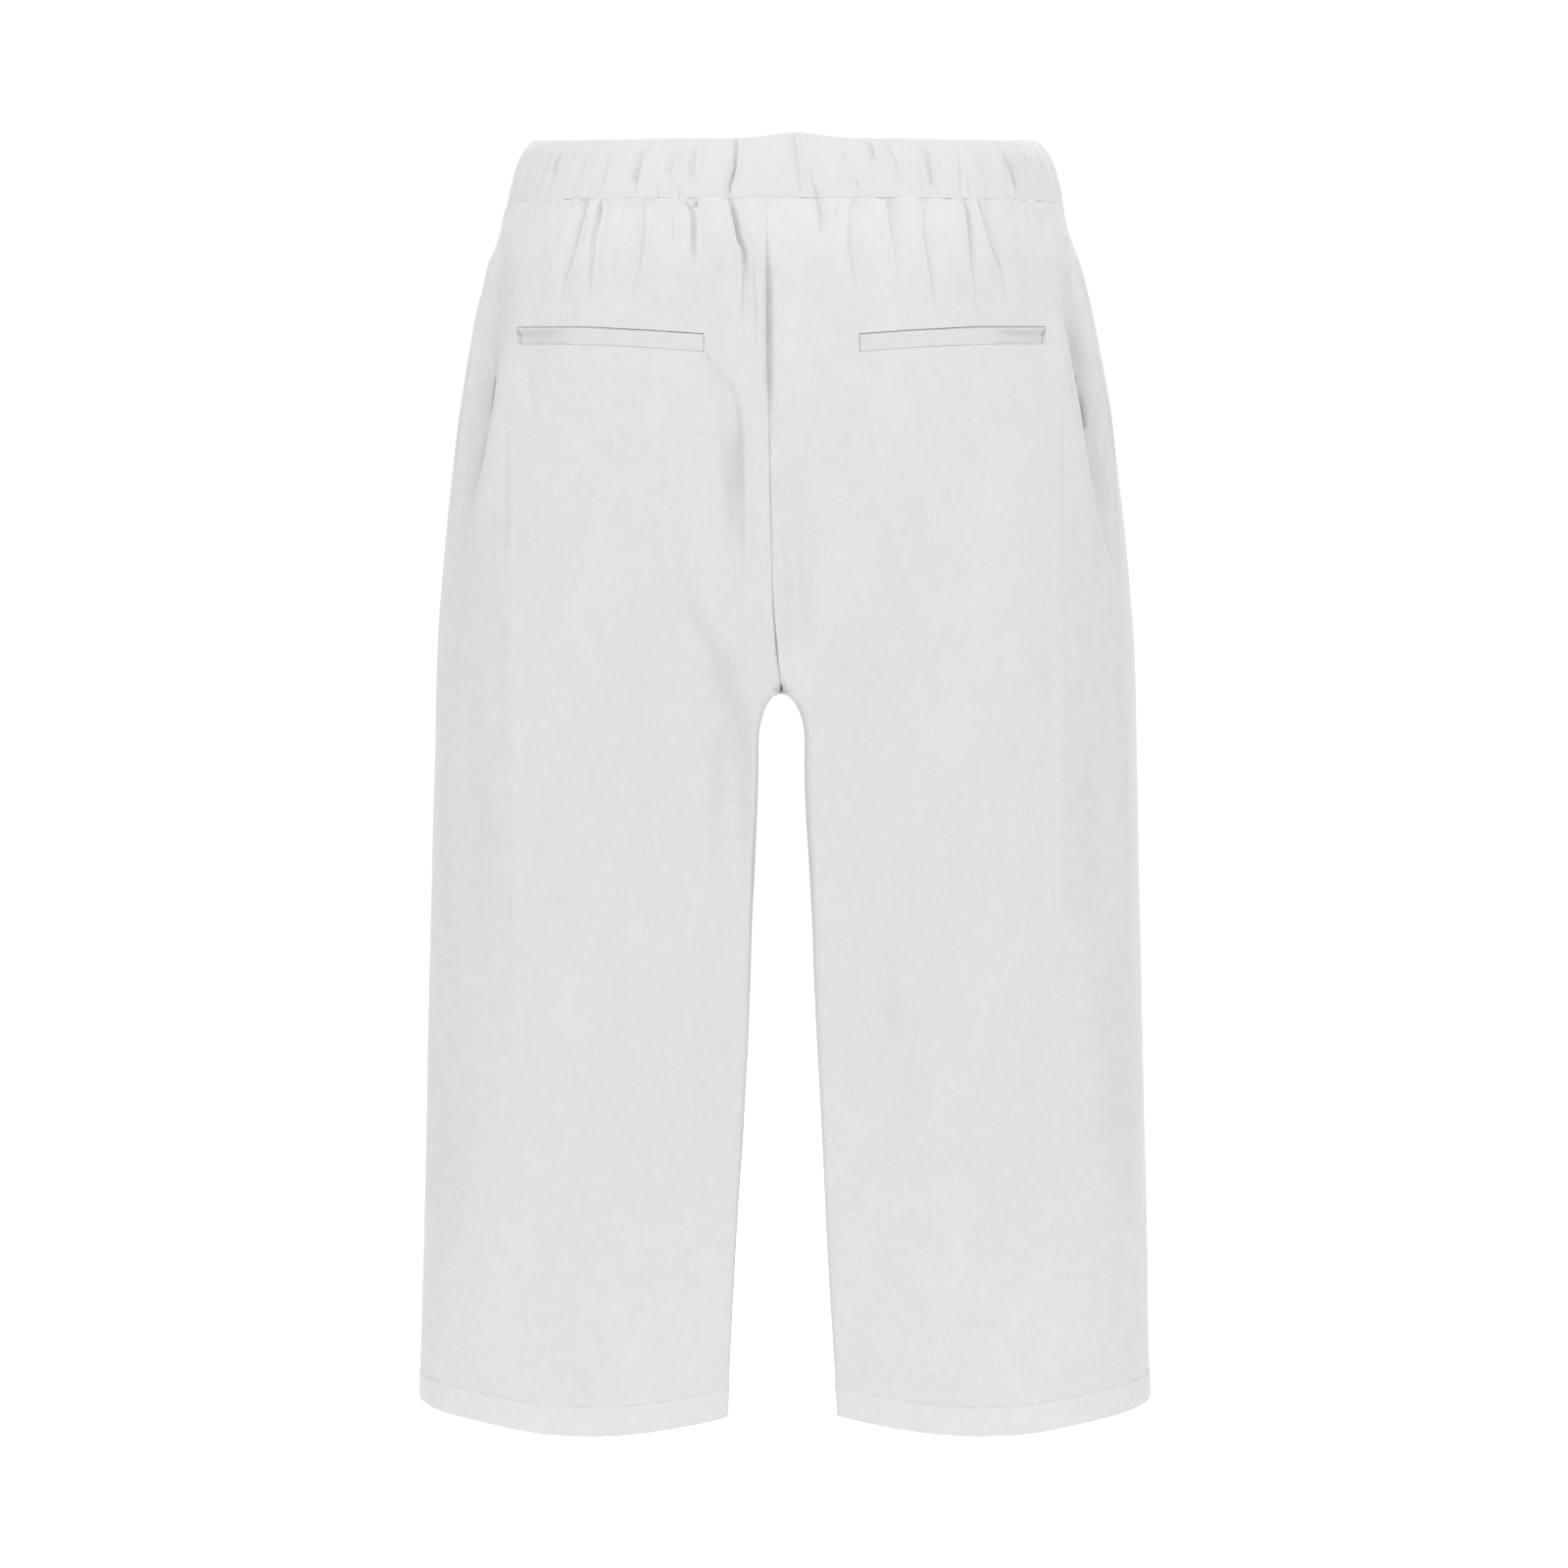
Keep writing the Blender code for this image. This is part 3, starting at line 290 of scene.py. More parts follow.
BAND_COLUMNS, BAND_CLOSER = 1520, 0.38  # columns round the band, and how much closer they are at the back
BY_HAND_WITHIN = 166.0  # the band's creases are listed one by one within this girth

# Sharp creases across the back of the band, in the columns of the panels' creases.
BAND_CREASES = (
    (((135.6, -13.7), (141, 6.2)), 3.2, 1.08, 0.4, 0.2),
    (((128.7, -12.6), (137.1, 9.6)), 5.5, 1.15, 0.5, 0.2),
    (((142.1, -11), (144.7, 1)), 1.5, 0.94, 0.4, 0.2),
    (((102.4, -6), (104.2, 5), (107.1, 14)), 2.6, 1.66, 0.7, 0),
    (((112.7, 7), (116.2, 18.8)), 1.3, 1.08, 0.6, 0),
    (((84.2, -13), (84.5, 0), (88.6, 14)), 3.5, 1.37, 0.8, 0.3),
    (((76.4, 7.5), (73.7, 18.8)), 1.2, 0.94, 0.5, 0),
    (((61.9, -13), (65.6, -2), (69.8, 11)), 2, 1.51, 0.7, 0.5),
    (((64.4, 9), (61.5, 18.8)), 1.2, 0.94, 0.5, 0),
    (((51.5, -14.5), (53.1, -2), (55.4, 12)), 1.9, 1.15, 0.7, 0.9),
    (((47.8, -8.6), (49.1, 2), (51.1, 12.5)), 1.5, 0.94, 0.4, 0),
    (((28.5, -19), (28.4, -10), (28.8, 0), (31.8, 12), (32.7, 19)), 3.9, 0.9, 0.6, 0.6),
    (((17.6, -3.5), (16.7, 5)), 0.8, 0.94, 0.6, 0.1),
    (((-4.2, -19), (-6.5, -1), (-9.3, 17.6)), 1.8, 1.15, 0.5, 1),
    (((-11.4, -13), (-13.6, 0), (-15.7, 11), (-18.6, 19)), 1.8, 1.15, 0.7, 0.3),
    (((-22.1, 10), (-18.8, 19)), 1, 0.94, 0.6, 0),
    (((-32.9, -12), (-33.3, 2)), 1.1, 1.15, 0.4, 0),
    (((-48.1, -18), (-50.2, -10), (-51.6, 0)), 2.6, 1.15, 0.7, 0.7),
    (((-40.2, 6), (-42.5, 17)), 1.9, 0.94, 0.6, 0),
    (((-57.9, -17), (-62, -6), (-64.7, 3.4), (-68, 14)), 1.4, 1.15, 0.7, 1),
    (((-80.1, -16), (-82.7, -6), (-83.8, 1.6), (-85.9, 16)), 3.7, 1.44, 0.8, 0.4),
    (((-100.5, -7), (-101.6, 0), (-102.6, 9.6), (-103.7, 19)), 2.5, 1.44, 0.4, 0),
    (((-109.8, 6), (-112.4, 19)), 1.2, 1.08, 0.6, 0),
    (((-125.3, -14), (-130.6, -3), (-133.5, 4.5), (-136, 18)), 4.9, 1.15, 0.5, 0.3),
    (((-133.7, -12), (-138, 4.5)), 2, 1.01, 0.6, 0.2),
    (((-139.2, -10.5), (-142.7, 1)), 3.2, 0.94, 0.4, 0.1),
    (((-149.5, -8), (-153.1, 7.3)), 3.2, 1.15, 0.6, 0),
)

WELT_ENDS = {1: (47.3, 157.0), -1: (42.8, 151.3)}  # distances from the centre, left and right
WELT_TOP = ((0.0, 97.8), (0.35, 95.2), (0.7, 93.5), (1.0, 93.4))  # share of its length, drop of the mouth
WELT_MEAN, WELT_HEIGHT = 95.2, 10.5
WELT_RECESS = 4.4
WELT_COLUMNS = 112
WELT_GAPS = (0.14, 0.42)  # left at the welt's inner and outer end
WELT_SINKS, WELT_SINKS_FROM, WELT_SINKS_OVER = 3.4, 36.0, 20.0  # its outer end lies deeper in the pocket

SIDES = (("left", 1), ("right", -1))
PANELS = {face + "_" + side: (face, hand) for face in ("back", "front") for side, hand in SIDES}
FOLDS = {"back": BACK_FOLDS, "front": FRONT_FOLDS}
CREASES = {"back": BACK_CREASES, "front": FRONT_CREASES}
RIDGES = {"back": BACK_RIDGES, "front": FRONT_RIDGES}
UNEVENNESS = ((0.34, (34.0, 120.0)), (0.15, (13.0, 46.0)), (0.05, (5.0, 16.0)))  # height and size of bumps
SEAM_ROLL = ((1.15, 0.95), (0.25, 3.2))  # depth and width of the rolls at a seam
GAPE_DEPTH, GAPE_FROM, GAPE_LENGTH = 2.7, 40.0, 108.0  # the centre back seam gapes along this stretch
GAPE_WIDTH = {1: 0.7, -1: 1.5}
SEAM_LIFT = 0.45  # the layers in the waist seam lift the cloth


def smooth(t):
    t = np.clip(t, 0.0, 1.0)
    return t * t * (3.0 - 2.0 * t)


def unit(v):
    return v / np.maximum(np.linalg.norm(v, axis=-1, keepdims=True), 1e-9)


def bell(distance, width):
    return np.exp(-((distance / width) ** 2))


def way_along(x, y):
    """The way along a line to each of its points."""
    return np.concatenate([[0.0], np.cumsum(np.hypot(np.diff(x), np.diff(y)))])


def along(at, places, values):
    """A smooth curve through the rows of a table, with no overshoot."""
    places, values = np.asarray(places, float), np.asarray(values, float)
    step = np.diff(places)
    slope = np.diff(values) / step
    pair = slope[:-1] * slope[1:]
    tangent = np.concatenate([slope[:1], np.zeros(len(pair)), slope[-1:]])
    tangent[1:-1] = np.where(pair > 0, 2.0 * pair / np.where(pair > 0, slope[:-1] + slope[1:], 1.0), 0.0)
    k = np.clip(np.searchsorted(places, at) - 1, 0, len(step) - 1)
    t = np.clip((at - places[k]) / step[k], 0.0, 1.0)
    return (
        (1 + 2 * t) * (1 - t) ** 2 * values[k]
        + t * (1 - t) ** 2 * step[k] * tangent[k]
        + t * t * (3 - 2 * t) * values[k + 1]
        - t * t * (1 - t) * step[k] * tangent[k + 1]
    )


def rumple(across, down, size, seed):
    """Smooth random relief of about one unit, with bumps of the given size (across, down)."""
    a, b = across / size[0], down / size[1]
    i, j = np.floor(a).astype(int), np.floor(b).astype(int)
    ta, tb = a - i, b - j
    lattice = np.random.default_rng(seed).standard_normal((512, 256))

    def weights(t):
        middle = (3 * t**3 - 6 * t**2 + 4) / 6, (-3 * t**3 + 3 * t**2 + 3 * t + 1) / 6
        return (1 - t) ** 3 / 6, *middle, t**3 / 6

    wa, wb = weights(ta), weights(tb)
    near = [(p, q) for p in range(4) for q in range(4)]
    return 2.2 * sum(wa[p] * wb[q] * lattice[(i + p) % 512, (j + q) % 256] for p, q in near)


def section(drop, face):
    """Points of a quarter section from the centre seam or the inseam round to the side seam, from above."""
    size = {
        name: float(along(drop, [row[0] for row in SECTIONS], [row[k + 1] for row in SECTIONS]))
        for k, name in enumerate(SECTION_COLUMNS[1:])
    }
    depth, power, bridge = size[face], size["square"], size["bridge"]
    middle, side = size["middle"], size["side"]
    power = power + LEG_SQUARER * smooth((drop - LEG_SQUARER_FROM) / LEG_SQUARER_OVER)
    oval = INNER_SQUARE[face]
    if drop < CROTCH:
        oval += (power - oval) * smooth((CROTCH - drop) / INNER_ROUNDS_OVER)
        fall = max(drop - WAIST_SEAM, 0.0) / (CROTCH - WAIST_SEAM)
        seat = min((1.0 - fall**SEAT_POWER) ** SEAT_TURN, 0.9995)
        reach = (middle - bridge) / (1.0 - seat**oval) ** (1.0 / oval)
        last = np.arcsin(((middle - bridge) / reach) ** (oval / 2.0))
        lean = 0.0
    else:
        arch = np.sqrt(1.0 - (1.0 - min((drop - CROTCH) / ARCH_HEIGHT, 1.0)) ** 2)
        reach = middle - np.hypot(size["gap"] * arch, bridge)
        last = np.pi / 2.0
        lean = arch * (WALL_LEAN + WALL_LEAN_FOR_GAP * size["gap"])
    inner = last * (1.0 - np.linspace(0.0, 1.0, SECTION_POINTS) ** 1.5)
    outer = np.pi / 2.0 * np.linspace(0.0, 1.0, SECTION_POINTS + 1)[1:]
    x_in = middle - reach * np.sin(inner) ** (2.0 / oval)
    spanned = 1.0 - (x_in - bridge) / (middle - bridge)
    x_in = x_in - (x_in - np.sqrt(np.maximum(x_in**2 - bridge**2, 0.0))) * np.clip(spanned, 0.0, 1.0)
    y_in = depth * np.cos(inner) ** (2.0 / oval)
    ahead = y_in / depth if face == "front" else -y_in / depth
    x_in = x_in + lean * (1.0 + ahead) * np.clip(spanned, 0.0, 1.0) ** 2
    x_out = middle + (side - middle) * np.sin(outer) ** (2.0 / power)
    x = np.concatenate([x_in, x_out])
    y = np.concatenate([y_in, depth * np.maximum(np.cos(outer), 0.0) ** (2.0 / power)])
    return x, y, side, depth


def drifted(drop, face, hand):
    """The quarter section of one panel, with the centre seam or the inseam drawn a little to the left."""
    x, y, side, depth = section(drop, face)
    places, values = zip(*SEAM_DRIFT[face])
    shift = float(along(min(drop, CROTCH), places, values))
    moved = x + hand * shift * (1.0 - np.minimum(np.abs(x) / side, 1.0) ** 2) ** 2
    kept = 1.0 - smooth((drop - 150.0) / 100.0)
    return moved, y + kept * (np.interp(np.abs(moved), x, y) - y), side, depth


def fold_line(fold, drop):
    """x of a broad fold at a drop, and how deep the fold is there."""
    f = dict(zip(FOLD_COLUMNS, fold))
    t = (drop - f["drop_top"]) / (f["drop_low"] - f["drop_top"])
    if t < 0.0 or t > 1.0:
        return 0.0, 0.0, f["width"]
    x = f["x_top"] + (f["x_low"] - f["x_top"]) * t + np.sign(f["x_top"]) * f["bow"] * 4.0 * t * (1.0 - t)
    start = FOLD_START if f["drop_top"] <= WAIST_SEAM else 0.0
    rise = start + (1.0 - start) * smooth(t / f["strong"])
    fade = 1.0 - smooth((t - f["strong"]) / (1.0 - f["strong"]))
    return x, f["depth"] * rise * fade, f["width"]


def crease_line(line, drop):
    """x of a sharp crease or ridge at a drop, and how deep it is there."""
    points, depth, width, strong, head = line
    drops = [p[1] for p in points]
    if not drops[0] <= drop <= drops[-1]:
        return 0.0, 0.0, width
    t = (drop - drops[0]) / (drops[-1] - drops[0])
    rise = head + (1.0 - head) * smooth(t / strong)
    if drops[0] > WAIST_SEAM or BAND_TOP < drops[0] < WAIST_SEAM:
        rise *= float(smooth((drop - drops[0]) / 4.0))
    fade = 1.0 - smooth((t - strong) / (1.0 - strong))
    return float(along(drop, drops, [p[0] for p in points])), depth * rise * fade, width


def trough(distance, width):
    """A soft trough with a low ridge along each side."""
    q2 = (distance / width) ** 2
    return -(1.0 - 1.7 * q2) * np.exp(-q2)


def crease(distance, width):
    """A valley with a steep wall and a rounded lip on the side towards the centre, or on the other side where
    the width is negative, and a soft slope across from it."""
    distance = distance * math.copysign(1.0, width)
    q = np.where(distance < 0.0, -distance / (0.60 * abs(width)), distance / (1.35 * abs(width)))
    return -np.exp(-(q**1.25)) + np.where(distance < 0.0, 0.32, 0.10) * bell(q - 1.9, 0.9)


def place_between(start, end, count):
    return list(np.linspace(start, end, count + 1)[1:-1])


# The drops at which the cloth is worked out, close together near the waist seam and the crotch.
NEAR = 0.0125 * np.arange(1, 49) ** 2
STRETCHES = ((13.0, 24.0, 0.4), (24.0, 118.0, 1.0), (118.0, CROTCH - 29.0, 1.5), (CROTCH + 30.0, HEM, 1.5))
DROPS = [np.arange(*stretch) for stretch in STRETCHES] + [CROTCH - NEAR, CROTCH + NEAR, [CROTCH, HEM]]
DROPS = np.unique(np.concatenate(DROPS))
EDGE = (0.0, 0.45, 0.95, 1.5, 2.2, 3.1, 4.3, 5.7)  # first columns beside a seam
WALL_COLUMNS = 38.0  # the columns in this width beyond them take up the wall between the legs
WALL_DRAWN_OVER, WALL_CORNER = 44.0, 9.0
WALL_CLOSES_OVER = 260.0
COLUMNS_INSIDE, COLUMNS_WELT, COLUMNS_OUTSIDE = {1: 33, -1: 39}, 100, 32  # of a back panel
COLUMNS_FRONT = 155
LIP = (-1.6, -0.7, -0.25, 0.0, 0.15, 0.3, 1.1, 2.1)  # columns and rows over the edge of a pocket opening


def panel_length(face, hand):
    """The way from the centre seam to the side seam at the pockets."""
    x, y, _, _ = drifted(WELT_MEAN + 4.0, face, hand)
    return float(np.sum(np.hypot(np.diff(x), np.diff(y))))


def panel_columns(face, hand):
    """Share of the way from the centre seam to the side seam at each column of a panel."""
    x, y, _, _ = drifted(WELT_MEAN + 4.0, face, hand)
    way = way_along(x, y)
    length = way[-1]
    if face == "back":
        start, end = np.interp(WELT_ENDS[hand], x, way)
        first = [start + e for e in LIP]
        last = [end - e for e in LIP[::-1]]
        places = place_between(EDGE[-1], first[0], COLUMNS_INSIDE[hand]) + first
        places += place_between(first[-1], last[0], COLUMNS_WELT) + last
        places += place_between(last[-1], length - EDGE[-1], COLUMNS_OUTSIDE)
    else:
        places = place_between(EDGE[-1], length - EDGE[-1], COLUMNS_FRONT)
    places = list(EDGE) + places + [length - e for e in EDGE[::-1]]
    if len(places) % 2 == 0:
        places.insert(len(EDGE), (places[len(EDGE) - 1] + places[len(EDGE)]) / 2.0)
    places = np.array(places) / length
    return np.insert(places, np.arange(1, len(places)), (places[1:] + places[:-1]) / 2.0)


def waist_girth(x, y):
    """The way round the band, from the centre back, to a point of the waist seam."""
    found = []
    for px, py in zip(x, y):
        face = "back" if py >= 0.0 else "front"
        way = BAND_WAYS[face]
        sx, sy, _, _ = WAIST_SECTIONS[face]
        angle = np.arctan2(abs(px), abs(py))
        share = np.interp(angle, np.arctan2(sx, sy), np.linspace(0.0, 1.0, len(sx)))
        place = float(np.interp(share, np.linspace(0.0, 1.0, len(way)), way))
        found.append(math.copysign(place if face == "back" else BAND_HALF - place, px))
    return np.array(found)


WAIST_SECTIONS = {face: section(WAIST_SEAM, face) for face in ("back", "front")}
BAND_WAYS = {face: way_along(*section(0.0, face)[:2]) for face in ("back", "front")}
BAND_HALF = float(BAND_WAYS["back"][-1] + BAND_WAYS["front"][-1])


def round_band(girth):
    """The same girth, counted from the nearer side of the centre back."""
    return (girth + BAND_HALF) % (2.0 * BAND_HALF) - BAND_HALF


def band_puckers(girth, drop):
    """Push of the band's broad puckers at one drop, in millimetres out."""
    t = (drop - BAND_TOP) / (WAIST_SEAM - BAND_TOP)
    push = np.zeros(len(girth))
    for top, low, depth, width in BAND_PUCKERS:
        push += depth * trough(round_band(girth - (top + (low - top) * t)), width)
    return PUCKER_SHARE * push


def column_places(at_welt, full, length, wall, drop):
    """The way along a row to each column. Some beside the centre take up the wall between the legs."""
    past_edge = np.clip((at_welt - EDGE[-1]) / WALL_COLUMNS, 0.0, 1.0)
    to_corner = 1.0 - (1.0 - np.minimum(past_edge / 0.5, 1.0)) ** 2
    drawn = WALL_COLUMNS * float(smooth((drop - CROTCH + WALL_DRAWN_OVER) / WALL_DRAWN_OVER))
    drawn = min(drawn, WALL_CORNER + wall)
    corner = EDGE[-1] + WALL_COLUMNS + wall
    stretch = (length - EDGE[-1] - corner) / (full - 2.0 * EDGE[-1] - WALL_COLUMNS)
    place = np.where(
        at_welt <= EDGE[-1] + WALL_COLUMNS,
        np.minimum(at_welt, EDGE[-1]) + (wall - drawn) * to_corner + (WALL_COLUMNS + drawn) * past_edge,
        corner + (at_welt - EDGE[-1] - WALL_COLUMNS) * stretch,
    )
    return np.where(at_welt > full - EDGE[-1], length - full + at_welt, place)


def fold_push(place, drop, face, hand, x, way):
    """How far the broad folds push each point of a row out. They start under the waist seam."""
    out = np.zeros(len(place))
    for f in FOLDS[face]:
        at, depth, width = fold_line(f, max(drop, WAIST_SEAM))
        if depth > 0.0 and np.sign(f[0]) == hand:
            share = 1.0 if f[1] > WAIST_SEAM + 1.0 else FOLD_SHARE
            out += share * depth * trough(place - np.interp(abs(at), x, way), width)
    top, low, depth, width = SEAM_FOLDS[face]
    if top < drop < low:
        out += depth * np.sin(np.pi * (drop - top) / (low - top)) ** 0.8 * trough(place, width)
    return out * float(smooth((drop - 18.4) / 2.6))


def crease_relief(place, drop, face, hand, x, way):
    """Relief of the sharp creases and the soft ridges along a row."""
    relief = np.zeros(len(place))
    for lines, form in ((CREASES[face], crease), (RIDGES[face], bell)):
        for line in lines:
            at, depth, width = crease_line(line, max(drop, WAIST_SEAM))
            if depth != 0.0 and line[0][0][0] * hand > 0.0:
                relief += depth * form(place - np.interp(at * hand, x, way), width)
    return relief


def row_height(drop, x, y, face, depth_here):
    """Height of the points of a row: level down to the thigh, then tilted and bowed as the hem is."""
    low = smooth((drop - HEM_FORMS_FROM) / HEM_FORMS_OVER)
    z = -drop + low * HEM_TILT * (np.abs(x) - LEG_MIDDLE) / LEG_WIDTH
    inwards = np.clip((BOW_INSIDE_FROM - np.abs(x)) / BOW_INSIDE_OVER, 0.0, 1.0)
    z = z + low * HEM_BOW_INSIDE * inwards**1.7
    z = z + low * HEM_BOW_OUTSIDE * smooth((np.abs(x) - BOW_OUTSIDE_FROM) / BOW_OUTSIDE_OVER)
    if face == "back":
        z = z - low * HEM_DIP * smooth(y / depth_here) ** 2.5
    return np.broadcast_to(z, x.shape)


def smooth_panel(face, hand, shares):
    """Outer side of a panel with its broad folds, the way along each row, and the relief of its creases."""
    full = panel_length(face, hand)
    rows = []
    for drop in DROPS:
        x, y, _, depth_here = drifted(drop, face, hand)
        way = way_along(x, y)
        length = way[-1]
        wall = (depth_here - y[0]) * math.exp(-max(drop - CROTCH, 0.0) / WALL_CLOSES_OVER)
        place = column_places(shares * full, full, length, wall, drop)
        out = fold_push(place, drop, face, hand, x, way)
        relief = crease_relief(place, drop, face, hand, x, way)
        px, py = np.interp(place, way, x), np.interp(place, way, y)
        ahead, behind = np.minimum(place + 1.0, length), np.maximum(place - 1.0, 0.0)
        tx = np.interp(ahead, way, x) - np.interp(behind, way, x)
        ty = np.interp(ahead, way, y) - np.interp(behind, way, y)
        tx[0], ty[0] = (1.0, 0.0) if drop < CROTCH else (0.0, 1.0)
        tx[-1], ty[-1] = 0.0, -1.0
        size = np.hypot(tx, ty)
        px, py = px - out * ty / size, py + out * tx / size
        z = row_height(drop, px, py, face, depth_here)
        points = np.stack([hand * px, py if face == "back" else -py, z], axis=-1)
        rows.append((points, place, relief, place - np.interp(GRAIN_X, x, way)))
    return [np.array(values) for values in zip(*rows)]


def panel_seed(name):
    return 40 + 10 * list(PANELS).index(name)


def soft_relief(name, way, length, grain, drop):
    """Gentle unevenness of the cloth, dying away at the seams, and small gathers under the waist seam."""
    seed = panel_seed(name)
    clear = smooth(np.minimum(way, length - way) / 16.0)
    bumps = [height * rumple(grain, drop, size, seed + k) for k, (height, size) in enumerate(UNEVENNESS)]
    relief = clear * sum(bumps)
    below = np.maximum(drop - WAIST_SEAM, 0.0)
    relief += 0.40 * np.exp(-below / 13.0) * rumple(way, drop, (3.4, 26.0), seed + 3)
    relief += 0.26 * bell(below, 42.0) * rumple(way, drop, (7.0, 60.0), seed + 4)
    return relief


def panel_surfaces():
    """All four panels at every drop of DROPS, with the directions out of them alike at each seam."""
    sheets = {}
    for name, (face, hand) in PANELS.items():
        shares = panel_columns(face, hand)
        grid, way, relief, grain = smooth_panel(face, hand, shares)
        relief += soft_relief(name, way, way[:, -1:], grain, np.broadcast_to(DROPS[:, None], way.shape))
        turn = hand * (1.0 if face == "back" else -1.0)
        reach = np.broadcast_to(DROPS[:, None], way.shape)
        above, under = np.maximum(reach - 1.2, DROPS[0]), np.minimum(reach + 1.2, HEM)
        downward = at_drops(grid, under) - at_drops(grid, above)
        outward = unit(np.cross(np.gradient(grid, axis=1), downward)) * turn
        outward[[0, -1], :, 2] = 0.0
        sheets[name] = dict(face=face, hand=hand, shares=shares, outward=unit(outward))
        sheets[name].update(grid=grid, way=way, grain=grain, relief=relief)
    fork = int(np.searchsorted(DROPS, CROTCH))

    def share(a, b, rows, column):
        a, b = sheets[a]["outward"], sheets[b]["outward"]
        a[rows, column] = b[rows, column] = unit(a[rows, column] + b[rows, column])

    share("back_left", "back_right", slice(None, fork), 0)
    share("front_left", "front_right", slice(None, fork), 0)
    for hand in ("left", "right"):
        share("back_" + hand, "front_" + hand, slice(None), -1)
        share("back_" + hand, "front_" + hand, slice(fork + 1, None), 0)
    for sheet in sheets.values():
        face, hand, grid, outward = sheet["face"], sheet["hand"], sheet["grid"], sheet["outward"]
        outward[fork, 0] = (0.0, 0.0, -1.0)
        for column, step in ((0, 1), (-1, -2)):
            seam = unit(np.gradient(grid[:, column], axis=0))
            inward = unit(np.cross(outward[:, column], seam))
            inward *= np.sign(np.sum(inward * (grid[:, step] - grid[:, column]), axis=1))[:, None]
            if column == 0:
                inward[fork] = (hand, 1.0 if face == "back" else -1.0, 0.0)
            grid[:, column] += inward * SEAM_GAP / 2.0
    return sheets


def leg_rows():
    """Rows of a panel: drop at the centre, drop at the side seam, and how far in from the outer side."""
    near = (0.02, 0.08, 0.2, 0.4, 0.7, 1.1, 1.6, 2.2, 3.0, 4.0)
    near += (5.2, 6.6, 8.4, 10.6, 13.2, 16.0, 19.0, 22.0, 25.0, 28.0)
    centre = list(np.linspace(110.0, CROTCH - 31.0, 58)) + [CROTCH - e for e in near[::-1]] + [CROTCH]
    centre += [CROTCH + e for e in near] + list(np.linspace(CROTCH + 32.0, 702.0, 72))
    side = np.linspace(110.0, 702.0, len(centre))
    rows = [14.4, 15.8, 17.2, 18.3, 18.85, 18.93, 18.98, 19.06, 19.3, 19.8, 20.6, 21.4, 22.2, 23.1]
    rows += list(np.arange(24.2, WELT_MEAN - 2.4, 1.4))
    rows += [WELT_MEAN + e for e in LIP]
    rows += list(np.arange(WELT_MEAN + 3.2, WELT_MEAN + WELT_HEIGHT - 2.6, 1.1))
    rows += [WELT_MEAN + WELT_HEIGHT - e for e in LIP[::-1]]
    rows += [109.3]
    rows = [(drop, drop, 0.0) for drop in rows]
    rows += [(drop, edge, 0.0) for drop, edge in zip(centre, side)]
    radius = HEM_FOLD / 2.0
    hem = list(np.arange(703.5, 722.0, 1.5)) + list(np.arange(722.0, 728.0, 0.5))
    hem += list(np.arange(728.0, HEM - radius - 0.2, 1.1)) + [HEM - radius]
    rows += [(drop, drop, 0.0) for drop in hem]
    for k in range(1, 8):
        turn = math.pi * k / 8.0
        drop = HEM - radius + radius * math.sin(turn)
        rows.append((drop, drop, radius - radius * math.cos(turn)))
    rows += [(drop, drop, HEM_FOLD) for drop in np.linspace(HEM - radius, HEM_TOP + 0.4, 9)]
    rows += [(HEM_TOP, HEM_TOP, HEM_FOLD - 0.3), (HEM_TOP - 0.1, HEM_TOP - 0.1, 1.6)]
    return np.array(rows)


ROWS_LEVEL = 0.13  # share of a panel over which the rows stay level before they fan out
WIDE_DROP = 112.0  # down to just under the pockets a panel has twice as many columns


def welt_top(x, hand):
    """Drop of the pocket mouth at a distance from the centre."""
    start, end = WELT_ENDS[hand]
    share = np.clip((x - start) / (end - start), 0.0, 1.0)
    return along(share, *zip(*WELT_TOP))


def lowest_near(field, reach):
    """Each point's lowest value within a few rows and columns, to keep the inner layer inside the outer."""
    for axis in (0, 1):
        padded = np.pad(field, [(reach, reach) if a == axis else (0, 0) for a in (0, 1)], mode="edge")
        parts = [np.take(padded, range(k, k + field.shape[axis]), axis=axis) for k in range(2 * reach + 1)]
        field = np.min(parts, axis=0)
    return field


def at_drops(values, drops):
    """Values known at every drop of DROPS, read column by column at other drops."""
    if values.ndim == 3:
        return np.stack([at_drops(values[..., k], drops) for k in range(values.shape[2])], axis=-1)
    return np.stack([np.interp(drops[:, j], DROPS, values[:, j]) for j in range(values.shape[1])], axis=1)


def rolled_seams(relief, drop, from_centre, from_side, face, hand):
    """Both edges roll in at a seam, with a soft shoulder and slight puckering. The centre back gapes."""
    draw = 1.0 + 0.35 * rumple(drop, drop * 0.0, (9.0, 50.0), 7)
    at_centre = 0.30 + 0.45 * smooth((drop - 120.0) / 24.0) if face == "back" else 1.0
    for away, strength in ((from_centre, at_centre), (from_side, 0.6)):
        relief = relief - strength * draw * sum(depth * bell(away, width) for depth, width in SEAM_ROLL)
        relief = relief + 0.18 * bell(away - 5.6, 2.6)
    if face == "back":
        opened = np.sin(np.pi * np.clip((drop - GAPE_FROM) / GAPE_LENGTH, 0.0, 1.0)) ** 0.6
        relief = relief - GAPE_DEPTH * opened * bell(from_centre, GAPE_WIDTH[hand])
    return relief


def turned_hem(relief, drop, way, seed):
    """Two layers under the stitch line, the line itself, and the slight twist of a turned-up edge."""
    doubled = smooth((drop - (HEM_TOP - 1.0)) / 5.0)
    relief = relief + 0.30 * doubled - 0.42 * bell(drop - STITCH_LINE, 0.9)
    twist = rumple(way + 0.8 * (drop - STITCH_LINE), drop, (5.0, 40.0), seed)
    return relief + 0.16 * twist * doubled * bell(drop - STITCH_LINE - 7.0, 9.0)


